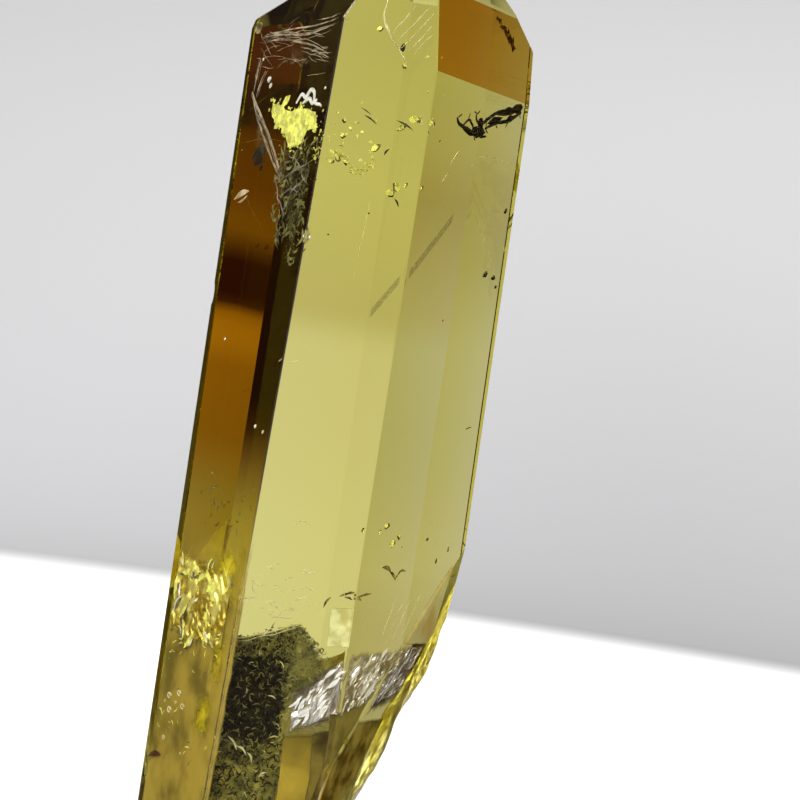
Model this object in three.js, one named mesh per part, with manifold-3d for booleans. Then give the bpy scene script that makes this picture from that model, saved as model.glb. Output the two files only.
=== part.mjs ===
// A citrine crystal point: one natural quartz crystal, standing on its cut base.
// Millimetres, +Z up along the crystal's long axis. The origin is the centre of the bounding box at the base.
// The crystal is a convex body bounded by flat faces, with its worn edges, from which breaks and chips are cut.
import * as THREE from "three";
import { ConvexGeometry } from "three/addons/geometries/ConvexGeometry.js";
import { mergeVertices } from "three/addons/utils/BufferGeometryUtils.js";
import Module from "manifold-3d";

// Driving dimensions.
const WAIST = 63.3; // height at which each prism face has its stated reach
const RHOMB = 38.2; // slope of a quartz rhombohedral face from the crystal's axis, degrees
const EDGE_WEAR = 0.08; // depth that wear has taken off each edge
const BLUNT = 28; // faces that turn less than this at an edge, in degrees, leave it no wear
const TOP_LIMIT = 160; // above the highest corner
const BREAK_GRID = 1.5; // spacing of the points on a broken surface
const BREAK_SPAN = 66; // width and height of the block that cuts a break
const BREAK_DEPTH = 26; // thickness of that block

// The prism. turn is the way a face looks, in degrees from the front (-Y) towards the right (+X), reach is its
// distance from the axis at the waist, and lean is how far it tips outwards on its way up, in degrees.
const PRISM = {
  front: { turn: 0, reach: 18.33, lean: 0.45 },
  front_right: { turn: 60, reach: 14.56, lean: 0.8 },
  back_right: { turn: 120, reach: 20.83, lean: -0.8 },
  back: { turn: 173, reach: 18.42, lean: 0 },
  back_knee: { turn: 195, reach: 17.23, lean: 0 },
  back_left: { turn: 240, reach: 19.05, lean: 1.4 },
  front_left: { turn: 300, reach: 16.33, lean: -1.4 },
};

// The termination. Each face starts at shoulder on the prism face below it and leans in by slope from the axis.
const TERMINATION = [
  { above: "front", shoulder: 120.5, slope: RHOMB },
  { above: "front_right", shoulder: 107.5, slope: 5.7 },
  { above: "front_right", shoulder: 117.5, slope: RHOMB },
  { above: "back_right", shoulder: 116.6, slope: 28 },
  { above: "back", shoulder: 120, slope: RHOMB },
  { above: "back_knee", shoulder: 122, slope: RHOMB },
  { above: "back_left", shoulder: 115.5, slope: 33 },
  { above: "front_left", shoulder: 112.8, slope: 23.6 },
];

// Small flat faces where a corner has come away. point lies on the face, turn is the way it looks as for a prism
// face, and rise is how far it looks up, in degrees.
const CORNERS = [
  { point: [-20.95, 6.1, 113.7], turn: 275, rise: 56.5 },
  { point: [19.1, 2.7, 116.4], turn: 95, rise: 42 },
  { point: [13.46, -4.86, 29.07], turn: 70.4, rise: -10.2 },
];

// Broken surfaces low on the crystal. point lies on the break, turn is the way it looks as for a prism face,
// overhang is how far it looks down, in degrees, and wave and grain are the heights of its swells and its hackles.
const BREAKS = [
  { point: [14.3, 5, 18.5], turn: 87, overhang: 20, wave: 0.5, grain: 0.12, seed: 3 },
  { point: [6, 17, 28], turn: 148, overhang: 24, wave: 0.7, grain: 0.15, seed: 11 },
];

// Shell-shaped chips knocked out of edges: centre, radii along X, Y and Z, and a turn about Z in degrees.
const CHIPS = [
  { centre: [20.4, 4.2, 118.6], radii: [2.2, 3.4, 1.5], turn: 20 },
  { centre: [18.6, 2.4, 121.4], radii: [1.6, 3.0, 1.3], turn: 40 },
  { centre: [20.9, 8.0, 115.2], radii: [1.1, 1.8, 1.9], turn: 10 },
  { centre: [-19.6, 2.4, 112.8], radii: [0.9, 2.6, 1.0], turn: -15 },
  { centre: [-8.4, -19.4, 111.6], radii: [1.5, 1.0, 0.8], turn: 25 },
  { centre: [-21.0, 3.0, 74.5], radii: [0.9, 1.2, 2.4], turn: 0 },
  { centre: [6.4, -19.0, 33.6], radii: [1.0, 0.9, 2.2], turn: 30 },
  { centre: [2.0, 2.6, 141.0], radii: [4.0, 3.0, 2.6], turn: 0 },
];

const radians = THREE.MathUtils.degToRad;

const wasm = await Module();
wasm.setup();

// A closed geometry as a manifold-3d solid.
function toSolid(geometry) {
  const bare = geometry.clone();
  bare.deleteAttribute("normal");
  bare.deleteAttribute("uv");
  const merged = mergeVertices(bare, 1e-4);
  return new wasm.Manifold(
    new wasm.Mesh({
      numProp: 3,
      vertProperties: new Float32Array(merged.attributes.position.array),
      triVerts: new Uint32Array(merged.index.array),
    }),
  );
}

// A manifold-3d solid as a geometry.
function toGeometry(solid) {
  const mesh = solid.getMesh();
  const geometry = new THREE.BufferGeometry();
  geometry.setAttribute("position", new THREE.BufferAttribute(mesh.vertProperties, 3));
  geometry.setIndex(new THREE.BufferAttribute(mesh.triVerts, 1));
  geometry.computeVertexNormals();
  return geometry;
}

// The direction that looks turn degrees round from the front and rise degrees above level.
function lookWay(turn, rise) {
  const level = Math.cos(radians(rise));
  return new THREE.Vector3(
    Math.sin(radians(turn)) * level,
    -Math.cos(radians(turn)) * level,
    Math.sin(radians(rise)),
  );
}

// A flat face as THREE.Plane, whose inside is where distanceToPoint is at most 0.
function face(normal, point) {
  return new THREE.Plane().setFromNormalAndCoplanarPoint(normal, point);
}

function prismFace({ turn, reach, lean }) {
  const foot = lookWay(turn, 0).multiplyScalar(reach);
  foot.z = WAIST;
  return face(lookWay(turn, -lean), foot);
}

function terminationFace({ above, shoulder, slope }) {
  const { turn, reach, lean } = PRISM[above];
  const out = reach + (shoulder - WAIST) * Math.tan(radians(lean));
  const foot = lookWay(turn, 0).multiplyScalar(out);
  foot.z = shoulder;
  return face(lookWay(turn, slope), foot);
}

// The narrow faces that wear has left along the sharper edges between faces.
function wornEdges(faces) {
  const worn = [];
  faces.forEach((a, i) => {
    faces.slice(i + 1).forEach((b) => {
      const sum = a.normal.clone().add(b.normal);
      const length = sum.length();
      if (length < 0.5 || a.normal.angleTo(b.normal) < radians(BLUNT)) return;
      const reach = -(a.constant + b.constant) / length;
      worn.push(new THREE.Plane(sum.divideScalar(length), EDGE_WEAR - reach));
    });
  });
  return worn;
}

// The point where three faces meet, or null where they are nearly parallel.
function meeting(a, b, c) {
  const bc = b.normal.clone().cross(c.normal);
  const volume = a.normal.dot(bc);
  if (Math.abs(volume) < 1e-6) return null;
  const ca = c.normal.clone().cross(a.normal);
  const ab = a.normal.clone().cross(b.normal);
  return bc
    .multiplyScalar(-a.constant)
    .addScaledVector(ca, -b.constant)
    .addScaledVector(ab, -c.constant)
    .divideScalar(volume);
}

// The convex body inside all the faces, from the corners where three of them meet.
function convexBody(faces) {
  const corners = [];
  const inside = (p) => faces.every((f) => f.distanceToPoint(p) < 1e-6);
  for (let i = 0; i < faces.length; i++)
    for (let j = i + 1; j < faces.length; j++)
      for (let k = j + 1; k < faces.length; k++) {
        const p = meeting(faces[i], faces[j], faces[k]);
        if (p && inside(p) && !corners.some((q) => q.distanceTo(p) < 1e-3)) corners.push(p);
      }
  return new ConvexGeometry(corners);
}

// A repeatable number from 0 to 1 for a grid place.
function hash(i, j, seed) {
  const s = Math.sin(i * 127.1 + j * 311.7 + seed * 74.7) * 43758.5453;
  return s - Math.floor(s);
}

// How far a broken surface stands proud at (u, v): long shell-like swells and sharp grid-sized hackles.
function breakHeight(u, v, { wave, grain, seed }) {
  const ring = Math.hypot(u - 9 - seed, v + 14);
  const swell = Math.sin(ring * 0.42) * 0.5 + Math.sin(u * 0.31 + seed) * Math.sin(v * 0.23 - seed) * 0.8;
  const i = Math.round(u / BREAK_GRID);
  const j = Math.round(v / BREAK_GRID);
  return wave * swell + grain * (hash(i, j, seed) * 2 - 1);
}

// The block that lies outside a break: its inner side is the broken surface.
function breakBlock(shape) {
  const steps = BREAK_SPAN / BREAK_GRID;
  const block = new THREE.BoxGeometry(BREAK_SPAN, BREAK_SPAN, BREAK_DEPTH, steps, steps, 1);
  const places = block.attributes.position;
  for (let i = 0; i < places.count; i++) {
    if (places.getZ(i) < 0) {
      places.setZ(i, -breakHeight(places.getX(i), places.getY(i), shape));
    } else {
      places.setZ(i, BREAK_DEPTH);
    }
  }
  const out = lookWay(shape.turn, -shape.overhang);
  block.applyQuaternion(new THREE.Quaternion().setFromUnitVectors(new THREE.Vector3(0, 0, 1), out));
  block.translate(...shape.point);
  return toSolid(block);
}

// The ellipsoid that a chip is cut with.
function chipBall({ centre, radii, turn }) {
  const ball = new THREE.IcosahedronGeometry(1, 3);
  ball.scale(...radii);
  ball.rotateZ(radians(turn));
  ball.translate(...centre);
  return toSolid(ball);
}

function crystalBody() {
  const faces = [
    ...Object.values(PRISM).map(prismFace),
    ...TERMINATION.map(terminationFace),
    ...CORNERS.map(({ point, turn, rise }) => face(lookWay(turn, rise), new THREE.Vector3(...point))),
    face(new THREE.Vector3(0, 0, -1), new THREE.Vector3(0, 0, 0)),
    face(new THREE.Vector3(0, 0, 1), new THREE.Vector3(0, 0, TOP_LIMIT)),
  ];
  let solid = toSolid(convexBody([...faces, ...wornEdges(faces)]));
  for (const shape of BREAKS) solid = solid.subtract(breakBlock(shape));
  for (const chip of CHIPS) solid = solid.subtract(chipBall(chip));
  return solid;
}

// Moves a geometry so that its bounding box stands centred on the origin.
function standOnOrigin(geometry) {
  geometry.computeBoundingBox();
  const middle = geometry.boundingBox.getCenter(new THREE.Vector3());
  return geometry.translate(-middle.x, -middle.y, -geometry.boundingBox.min.z);
}

const citrine = new THREE.MeshStandardMaterial({
  color: 0xcdbf6a,
  roughness: 0.03,
  metalness: 0,
  transparent: true,
  opacity: 0.5,
});

const crystal = new THREE.Mesh(standOnOrigin(toGeometry(crystalBody())), citrine);
crystal.name = "crystal_point";

const part = new THREE.Group();
part.add(crystal);

export default part;
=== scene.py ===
"""A citrine crystal point standing on its cut base, with what is sealed in it, on a pale studio sweep."""

import math
import random
from collections import namedtuple

import bmesh
import bpy
from bpy.props import FloatProperty, FloatVectorProperty, PointerProperty
from mathutils import Matrix, Vector, noise


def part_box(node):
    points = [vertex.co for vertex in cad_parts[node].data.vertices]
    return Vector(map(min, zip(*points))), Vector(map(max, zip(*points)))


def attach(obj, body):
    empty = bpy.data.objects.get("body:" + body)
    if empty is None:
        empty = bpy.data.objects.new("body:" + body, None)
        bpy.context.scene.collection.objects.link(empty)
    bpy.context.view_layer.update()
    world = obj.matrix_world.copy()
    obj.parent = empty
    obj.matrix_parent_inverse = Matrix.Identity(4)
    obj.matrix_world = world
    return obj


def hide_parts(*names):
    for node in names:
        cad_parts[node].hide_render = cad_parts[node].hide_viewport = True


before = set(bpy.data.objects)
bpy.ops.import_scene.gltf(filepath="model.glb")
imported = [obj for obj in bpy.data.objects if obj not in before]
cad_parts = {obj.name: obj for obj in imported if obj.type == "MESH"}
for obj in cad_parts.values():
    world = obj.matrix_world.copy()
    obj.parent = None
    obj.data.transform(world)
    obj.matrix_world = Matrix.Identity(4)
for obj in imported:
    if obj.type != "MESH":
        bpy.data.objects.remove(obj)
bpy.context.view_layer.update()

bl_info = {
    "name": "Citrine crystal point",
    "version": (1, 0, 0),
    "blender": (4, 5, 0),
    "location": "View3D > Sidebar > Citrine",
    "description": "Builds a clear citrine crystal point with its inclusions and a pale studio",
    "category": "Object",
}

CRYSTAL_NODE = "crystal_point"
BODY = "root"
DARK = "dark_inclusions"
BRIGHT = "bright_inclusions"
MM = 0.001
BASE_LOW, TOP_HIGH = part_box(CRYSTAL_NODE)
MIDDLE = (BASE_LOW + TOP_HIGH) / 2

# The way each face looks, in degrees from the front (-Y) towards the right (+X).
FACE_TURNS = {"front": 0.0, "front_right": 60.0, "front_left": 300.0}
CORNER_WAY = (70.4, -10.2)  # how the flat face at the low right corner looks: its turn and its rise
BREAK_TOP = BASE_LOW.z + 62 * MM  # above the large breaks
BREAK_FRONT = -13.0 * MM  # nothing in front of this is part of them


# ---------------------------------------------------------------- node trees


class Socket:
    """One output of a node. Arithmetic on it adds Math nodes to its tree."""

    def __init__(self, graph, link):
        self.graph = graph
        self.link = link

    def __add__(self, other):
        return self.graph.maths("ADD", self, other)

    __radd__ = __add__

    def __mul__(self, other):
        return self.graph.maths("MULTIPLY", self, other)

    __rmul__ = __mul__

    def __sub__(self, other):
        return self.graph.maths("SUBTRACT", self, other)

    def __rsub__(self, other):
        return self.graph.maths("SUBTRACT", other, self)

    def __truediv__(self, other):
        return self.graph.maths("DIVIDE", self, other)


class Node:
    """A node whose outputs are read by name, as node["Fac"]."""

    def __init__(self, graph, made):
        self.graph = graph
        self.made = made

    def __getitem__(self, name):
        found = [s for s in self.made.outputs if s.name == name and s.enabled]
        return Socket(self.graph, found[0])


class Graph:
    """Adds nodes to one tree. Short kinds such as "Math" mean ShaderNodeMath."""

    def __init__(self, tree):
        self.tree = tree

    def node(self, kind, settings=None, inputs=None):
        """A new node: settings are set first, and then the values or links of its inputs."""
        full = kind if "Node" in kind else "ShaderNode" + kind
        made = self.tree.nodes.new(full)
        for name, value in (settings or {}).items():
            if name == "stops":
                self._stops(made.color_ramp, value)
            else:
                setattr(made, name, value)
        for key, value in (inputs or {}).items():
            self._fill(made, key, value)
        return Node(self, made)

    def _stops(self, ramp, stops):
        while len(ramp.elements) < len(stops):
            ramp.elements.new(0.5)
        for element, (place, colour) in zip(ramp.elements, stops):
            element.position = place
            element.color = rgb(colour)

    def _fill(self, made, key, value):
        if isinstance(key, int):
            socket = made.inputs[key]
        else:
            socket = [s for s in made.inputs if s.name == key and s.enabled][0]
        if isinstance(value, Socket):
            self.tree.links.new(value.link, socket)
        else:
            socket.default_value = value

    def maths(self, operation, *values):
        """A Math node on sockets and numbers."""
        return self.node("Math", {"operation": operation}, dict(enumerate(values)))["Value"]

    def rise(self, value, low, high):
        """0 below low, 1 above high, and smooth between them."""
        inputs = {"Value": value, "From Min": low, "From Max": high}
        return self.node("MapRange", {"interpolation_type": "SMOOTHSTEP"}, inputs)["Result"]

    def band(self, value, low, high, soft):
        """1 between low and high, with both edges soft."""
        inside = self.rise(value, low - soft, low + soft)
        return inside * (1 - self.rise(value, high - soft, high + soft))

    def mix(self, share, first, second):
        """A colour from first, at share 0, to second, at share 1."""
        made = self.node("Mix", {"data_type": "RGBA"}, {"Factor": share, 6: first, 7: second}).made
        return Socket(self, made.outputs[2])

    def noise(self, scale, detail, distortion=0.0):
        """Cloudy noise from 0 to 1 over the piece."""
        inputs = {"Vector": self.place(), "Scale": scale, "Detail": detail, "Distortion": distortion}
        return self.node("TexNoise", None, inputs)["Fac"]

    def place(self):
        """Where a point is on the piece."""
        return self.node("TexCoord")["Object"]

    def parts(self, vector):
        """A vector's parts, by the names X, Y and Z."""
        return self.node("SeparateXYZ", None, {"Vector": vector})

    def attribute(self, name):
        return self.node("Attribute", {"attribute_name": name})["Fac"]

    def bump(self, height, distance, strength):
        return self.node("Bump", None, {"Height": height, "Distance": distance, "Strength": strength})["Normal"]

    def wander(self, scale, dark, light):
        """A colour that wanders between dark and light over the piece, and the noise that it follows."""
        cloud = self.noise(scale, 3.0)
        return self.mix(self.rise(cloud, 0.35, 0.65), rgb(dark), rgb(light)), cloud

    def principled(self, inputs):
        return self.node("BsdfPrincipled", None, inputs)["BSDF"]

    def finish(self, kind, ends):
        """The tree's output node of a kind, with what its named inputs take."""
        self.node(kind, None, ends)


def rgb(colour):
    """A colour with the full alpha that a socket needs."""
    return (*colour, 1.0)


def new_material(name):
    """An empty material and its graph."""
    material = bpy.data.materials.new(name)
    material.use_nodes = True
    material.node_tree.nodes.clear()
    return material, Graph(material.node_tree)


# ---------------------------------------------------------------- materials


FACET_SHADE_FADE = (0.009, 0.021)  # from where to where the facet's painted brown shade turns pale, across the crystal


def citrine_material(look):
    """Clear yellow quartz: plain transmission and absorption, crusted on its breaks, with a brown painted shade on one
    facet.
    """
    material, graph = new_material("Citrine quartz")
    place = graph.place()
    broken = graph.attribute("broken")
    fade = graph.rise(graph.parts(place)["X"], *FACET_SHADE_FADE)
    # A brown painted shade, deep at the left and pale at the right, on the facet that the stained attribute marks.
    stain = graph.mix(fade, rgb(look.facet_shade_deep), rgb(look.facet_shade_pale))
    cloud = graph.noise(220.0, 4.0, 0.8)
    rust = graph.mix(graph.rise(cloud, 0.35, 0.65), rgb(look.break_deep), rgb(look.break_pale))
    ripple = graph.node(
        "TexWave",
        {"wave_type": "RINGS", "rings_direction": "SPHERICAL"},
        {"Vector": place, "Scale": 160.0, "Distortion": 3.0, "Detail": 2.0},
    )["Fac"]
    relief = graph.bump((graph.noise(1500.0, 3.0) + ripple * 0.5) * broken, 0.00012, 0.6)
    clear = graph.principled({
        "Base Color": graph.mix(graph.attribute("stained"), rgb((1.0, 1.0, 1.0)), stain),
        "Roughness": broken * 0.06,
        "IOR": look.ior,
        "Transmission Weight": 1.0,
        "Normal": relief,
    })
    crust = graph.principled({"Base Color": rust, "Roughness": 0.55, "Normal": relief})
    hidden = broken * (graph.rise(cloud, 0.3, 0.6) * 0.35 + look.crust)
    absorbed = {"Color": rgb(look.absorption_colour), "Density": look.absorption_density}
    graph.finish("OutputMaterial", {
        "Surface": graph.node("MixShader", None, {0: hidden, 1: clear, 2: crust})["Shader"],
        "Volume": graph.node("VolumeAbsorption", None, absorbed)["Volume"],
    })
    return material


def mineral_material(name, dark, light, roughness, scale=900.0, painted_glow=0.0):
    """An opaque mineral whose colour and gloss wander from grain to grain. painted_glow makes it glow in its own
    colour, a painted highlight.
    """
    material, graph = new_material(name)
    colour, wander = graph.wander(scale, dark, light)
    graph.finish("OutputMaterial", {"Surface": graph.principled({
        "Base Color": colour,
        "Roughness": wander * 0.2 + roughness,
        "Emission Color": colour,
        "Emission Strength": painted_glow,
    })})
    return material


def veil_material(name, dark, light, scale, low, high, roughness=0.4, metallic=0.0, soft=0.35, most=1.0, top=None):
    """A healed crack: a film with many gaps, thin where its cloud is thin, towards its rim and towards its top."""
    material, graph = new_material(name)
    colour, wander = graph.wander(scale * 0.6, dark, light)
    cloud = graph.noise(scale, 4.0, 1.2)
    inside = graph.rise(graph.attribute("inside"), 0.0, soft)
    film = graph.rise(cloud + inside * 0.5 - 0.5, low, high) * inside
    if top:
        height = graph.parts(graph.place())["Z"]
        film = film * (1 - graph.rise(height + cloud * 0.006, *top))
    graph.finish("OutputMaterial", {"Surface": graph.principled({
        "Base Color": colour,
        "Metallic": metallic,
        "Roughness": wander * 0.15 + roughness,
        "Specular IOR Level": 0.15,
        "Alpha": film * most,
    })})
    return material


def tones(colour, low, high):
    """A colour made darker and lighter."""
    return [part * low for part in colour], [min(part * high, 1.0) for part in colour]


def colour_setting(name, description, default):
    """A colour that a user may change."""
    return FloatVectorProperty(name=name, description=description, subtype="COLOR", size=3, default=default)


# ---------------------------------------------------------------- meshes


def add_piece(name, mesh, finish):
    """A finished piece of the crystal, at the origin, riding on its body."""
    mesh.name = name
    mesh.materials.clear()
    mesh.materials.append(finish)
    piece = bpy.data.objects.new(name, mesh)
    bpy.context.scene.collection.objects.link(piece)
    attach(piece, BODY)
    return piece


def cad_copy():
    """The CAD crystal's mesh as one bmesh whose triangles share their corners."""
    bm = bmesh.new()
    bm.from_mesh(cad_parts[CRYSTAL_NODE].data)
    bmesh.ops.remove_doubles(bm, verts=bm.verts, dist=3e-6)
    bm.normal_update()
    return bm


def flat_planes(bm, bend=math.radians(0.2), least_area=3 * MM * MM):
    """The planes of the crystal's flat faces, each a normal and its distance from the origin."""
    planes = []
    seen = set()
    for start in bm.faces:
        if start in seen:
            continue
        group = [start]
        seen.add(start)
        for face in group:
            for edge in face.edges:
                for other in edge.link_faces:
                    if other not in seen and other.normal.angle(start.normal, 1.0) < bend:
                        seen.add(other)
                        group.append(other)
        if sum(face.calc_area() for face in group) > least_area:
            largest = max(group, key=lambda face: face.calc_area())
            planes.append((largest.normal.copy(), largest.normal.dot(largest.verts[0].co)))
    return planes


def plane_of(face, planes, near=0.004 * MM):
    """Which plane a face lies in, or None for a face of a break."""
    for index, (normal, distance) in enumerate(planes):
        if all(abs(normal.dot(vertex.co) - distance) < near for vertex in face.verts):
            return index
    return None


def way(turn, rise=0.0):
    """The direction that looks turn degrees round from the front and rise degrees above level."""
    level = math.cos(math.radians(rise))
    turn = math.radians(turn)
    return Vector((math.sin(turn) * level, -math.cos(turn) * level, math.sin(math.radians(rise))))


class Face:
    """One flat face as a place to measure from: across it, up it, and in under it."""

    def __init__(self, turn, rise=0.0):
        self.sideways = Vector((math.cos(math.radians(turn)), math.sin(math.radians(turn)), 0.0))
        bm = cad_copy()
        bmesh.ops.dissolve_limit(bm, angle_limit=math.radians(0.1), verts=bm.verts, edges=bm.edges)
        facing = [f for f in bm.faces if f.normal.angle(way(turn, rise)) < math.radians(2.5)]
        largest = max(facing, key=lambda f: f.calc_area())
        self.normal = largest.normal.copy()
        self.offset = self.normal.dot(largest.calc_center_median())
        self.outline = [(e.verts[0].co.copy(), e.verts[1].co.copy()) for e in largest.edges]
        heights = [vertex.co.z for vertex in largest.verts]
        self.low, self.high = min(heights) + 0.4 * MM, max(heights) - 0.8 * MM
        bm.free()

    def edges_at(self, height):
        """How far the face's two upright edges are along it at a height. Past its ends they stay as they are."""
        height = min(max(height, self.low), self.high)
        ends = []
        for low, high in self.outline:
            if (low.z - height) * (high.z - height) <= 0 and abs(low.z - high.z) > 1e-9:
                point = low.lerp(high, (height - low.z) / (high.z - low.z))
                ends.append(point.dot(self.sideways))
        return min(ends), max(ends)

    def spot(self, across, height, depth):
        """The point across the face from its left edge (0) to its right (1), at a height, depth under it."""
        left, right = self.edges_at(height)
        level = self.normal.copy()
        level.z = 0.0
        out = (self.offset - self.normal.z * height) / level.length
        point = self.sideways * (left + (right - left) * across) + level.normalized() * out
        point.z = height
        return point - self.normal * depth

    def axes(self):
        """Turns a frame's x across the face, its y up it and its z out of it."""
        up = self.normal.cross(self.sideways).normalized()
        return Matrix((self.sideways, up, self.normal)).transposed().to_4x4()


FACES = {name: Face(turn) for name, turn in FACE_TURNS.items()}
FACES["corner"] = Face(*CORNER_WAY)


def spot(face, across, height, depth):
    """A point under a named face, with the height and the depth in millimetres."""
    return FACES[face].spot(across, height * MM, depth * MM)


def noise_at(point, scale, seed=0.0):
    """Smooth noise from about -1 to 1 at a point, whose swells are about scale millimetres wide."""
    return noise.noise(point / (scale * MM) + Vector((seed, seed * 1.7, -seed)))


# ---------------------------------------------------------------- the crystal


SHARP = 38  # edges that turn more than this stay sharp, in degrees
SMOOTHING = 8  # rounds that soften the CAD's coarse breaks before their fine relief
BREAK_RELIEF = ((0.12, 3.2, 4), (0.035, 1.2, 9))  # each swell's height and width in millimetres, and its seed
SHADED_FACET_WAY = (8, 4.5, 7)  # the facet with the painted brown shade: how near it looks to the front right, and its least and most rise


def plain_mesh(holder):
    """The mesh that an object's modifiers make."""
    bpy.context.view_layer.update()
    evaluated = holder.evaluated_get(bpy.context.evaluated_depsgraph_get())
    return bpy.data.meshes.new_from_object(evaluated)


def in_breaks(place):
    """Whether a point is in the low part of the crystal that holds the large breaks."""
    return place.z < BREAK_TOP and place.y > BREAK_FRONT


def refine(bm, planes, longest=0.5 * MM, rounds=4):
    """Splits the low breaks' faces until their edges are short, without faces that lie back to back.

    The rims of the flat faces stay as they are.
    """
    for _ in range(rounds):
        rough = {
            face for face in bm.faces
            if all(in_breaks(vertex.co) for vertex in face.verts) and plane_of(face, planes) is None
        }
        edges = [
            edge for edge in bm.edges
            if edge.calc_length() > longest and all(face in rough for face in edge.link_faces)
        ]
        if not edges:
            break
        bmesh.ops.subdivide_edges(bm, edges=edges, cuts=1)
        wide = [face for face in bm.faces if len(face.verts) > 3 and plane_of(face, planes) is None]
        bmesh.ops.triangulate(bm, faces=wide)
    on_corners = {}
    for face in bm.faces:
        on_corners.setdefault(frozenset(face.verts), []).append(face)
    fins = [face for pair in on_corners.values() if len(pair) > 1 for face in pair]
    bmesh.ops.delete(bm, geom=fins, context="FACES")


def is_shaded_facet(normal):
    """Whether a flat face is the small one at the upper right that gets the painted brown shade."""
    near, least, most = (math.radians(limit) for limit in SHADED_FACET_WAY)
    return normal.angle(way(FACE_TURNS["front_right"])) < near and least < math.asin(normal.z) < most


def crystal_mesh():
    """The crystal's fine mesh: CAD's flat faces, with fine hackles on its breaks."""
    bm = cad_copy()
    planes = flat_planes(bm)
    lies_in = {face: plane_of(face, planes) for face in bm.faces}
    inner = []
    for edge in bm.edges:
        sides = {lies_in[face] for face in edge.link_faces}
        if len(sides) == 1 and None not in sides:
            inner.append(edge)
    bmesh.ops.dissolve_edges(bm, edges=inner, use_verts=False)
    broken = bm.faces.layers.float.new("broken")
    # stained marks the small upper facet that gets a painted brown shade.
    stained = bm.faces.layers.float.new("stained")
    bmesh.ops.triangulate(bm, faces=[face for face in bm.faces if plane_of(face, planes) is None])
    refine(bm, planes)
    lies_in = {face: plane_of(face, planes) for face in bm.faces}
    loose = [
        vertex for vertex in bm.verts
        if in_breaks(vertex.co) and all(lies_in[face] is None for face in vertex.link_faces)
    ]
    for _ in range(SMOOTHING):
        bmesh.ops.smooth_vert(bm, verts=loose, factor=0.5, use_axis_x=True, use_axis_y=True, use_axis_z=True)
    bm.normal_update()
    for vertex in loose:
        shift = sum(height * noise_at(vertex.co, width, seed) for height, width, seed in BREAK_RELIEF)
        vertex.co += vertex.normal * shift * MM
    for face, index in lies_in.items():
        face[broken] = float(index is None)
        face[stained] = float(index is not None and is_shaded_facet(planes[index][0]))
    mesh = bpy.data.meshes.new("crystal")
    bm.to_mesh(mesh)
    bm.free()
    mesh.set_sharp_from_angle(angle=math.radians(SHARP))
    for polygon, rough in zip(mesh.polygons, mesh.attributes["broken"].data):
        polygon.use_smooth = rough.value > 0.5
    return mesh


class CitrineCrystalSettings(bpy.types.PropertyGroup):
    """What the crystal itself is made of."""

    ior: FloatProperty(name="IOR", description="Quartz's index of refraction", default=1.55)
    absorption_colour: colour_setting("Absorption colour", "What the crystal lets through", (0.845, 0.798, 0.0))
    absorption_density: FloatProperty(
        name="Absorption density", description="Strength of the colour, per metre", default=42.0
    )
    # The two facet colours are a painted brown shade on the small upper facet, deep at its left and pale at its right.
    facet_shade_deep: colour_setting(
        "Deep facet shade", "The iron stain on the small upper facet, at its left", (0.49, 0.135, 0.0036)
    )
    facet_shade_pale: colour_setting("Pale facet shade", "The same stain where it thins out at the right", (0.45, 0.225, 0.036))
    crust: FloatProperty(
        name="Crust", description="How much of the breaks an iron-stained crust hides", default=0.45, min=0.0, max=0.65
    )
    break_deep: colour_setting("Deep break stain", "Iron stain in the hollows of the breaks", (0.12, 0.085, 0.03))
    break_pale: colour_setting("Pale break stain", "The cleaner parts of the breaks", (0.34, 0.28, 0.15))


class CITRINE_OT_crystal(bpy.types.Operator):
    """Build the crystal in place of its CAD solid"""

    bl_idname = "citrine.crystal"
    bl_label = "Crystal"

    def execute(self, context):
        look = context.scene.citrine_crystal
        piece = add_piece("citrine_crystal", crystal_mesh(), citrine_material(look))
        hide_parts(CRYSTAL_NODE)
        return {"FINISHED"}


# ---------------------------------------------------------------- what is sealed in the crystal


def pairs_round(ring):
    """Each item of a closed ring with the one after it."""
    return zip(ring, [*ring[1:], ring[0]])


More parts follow.
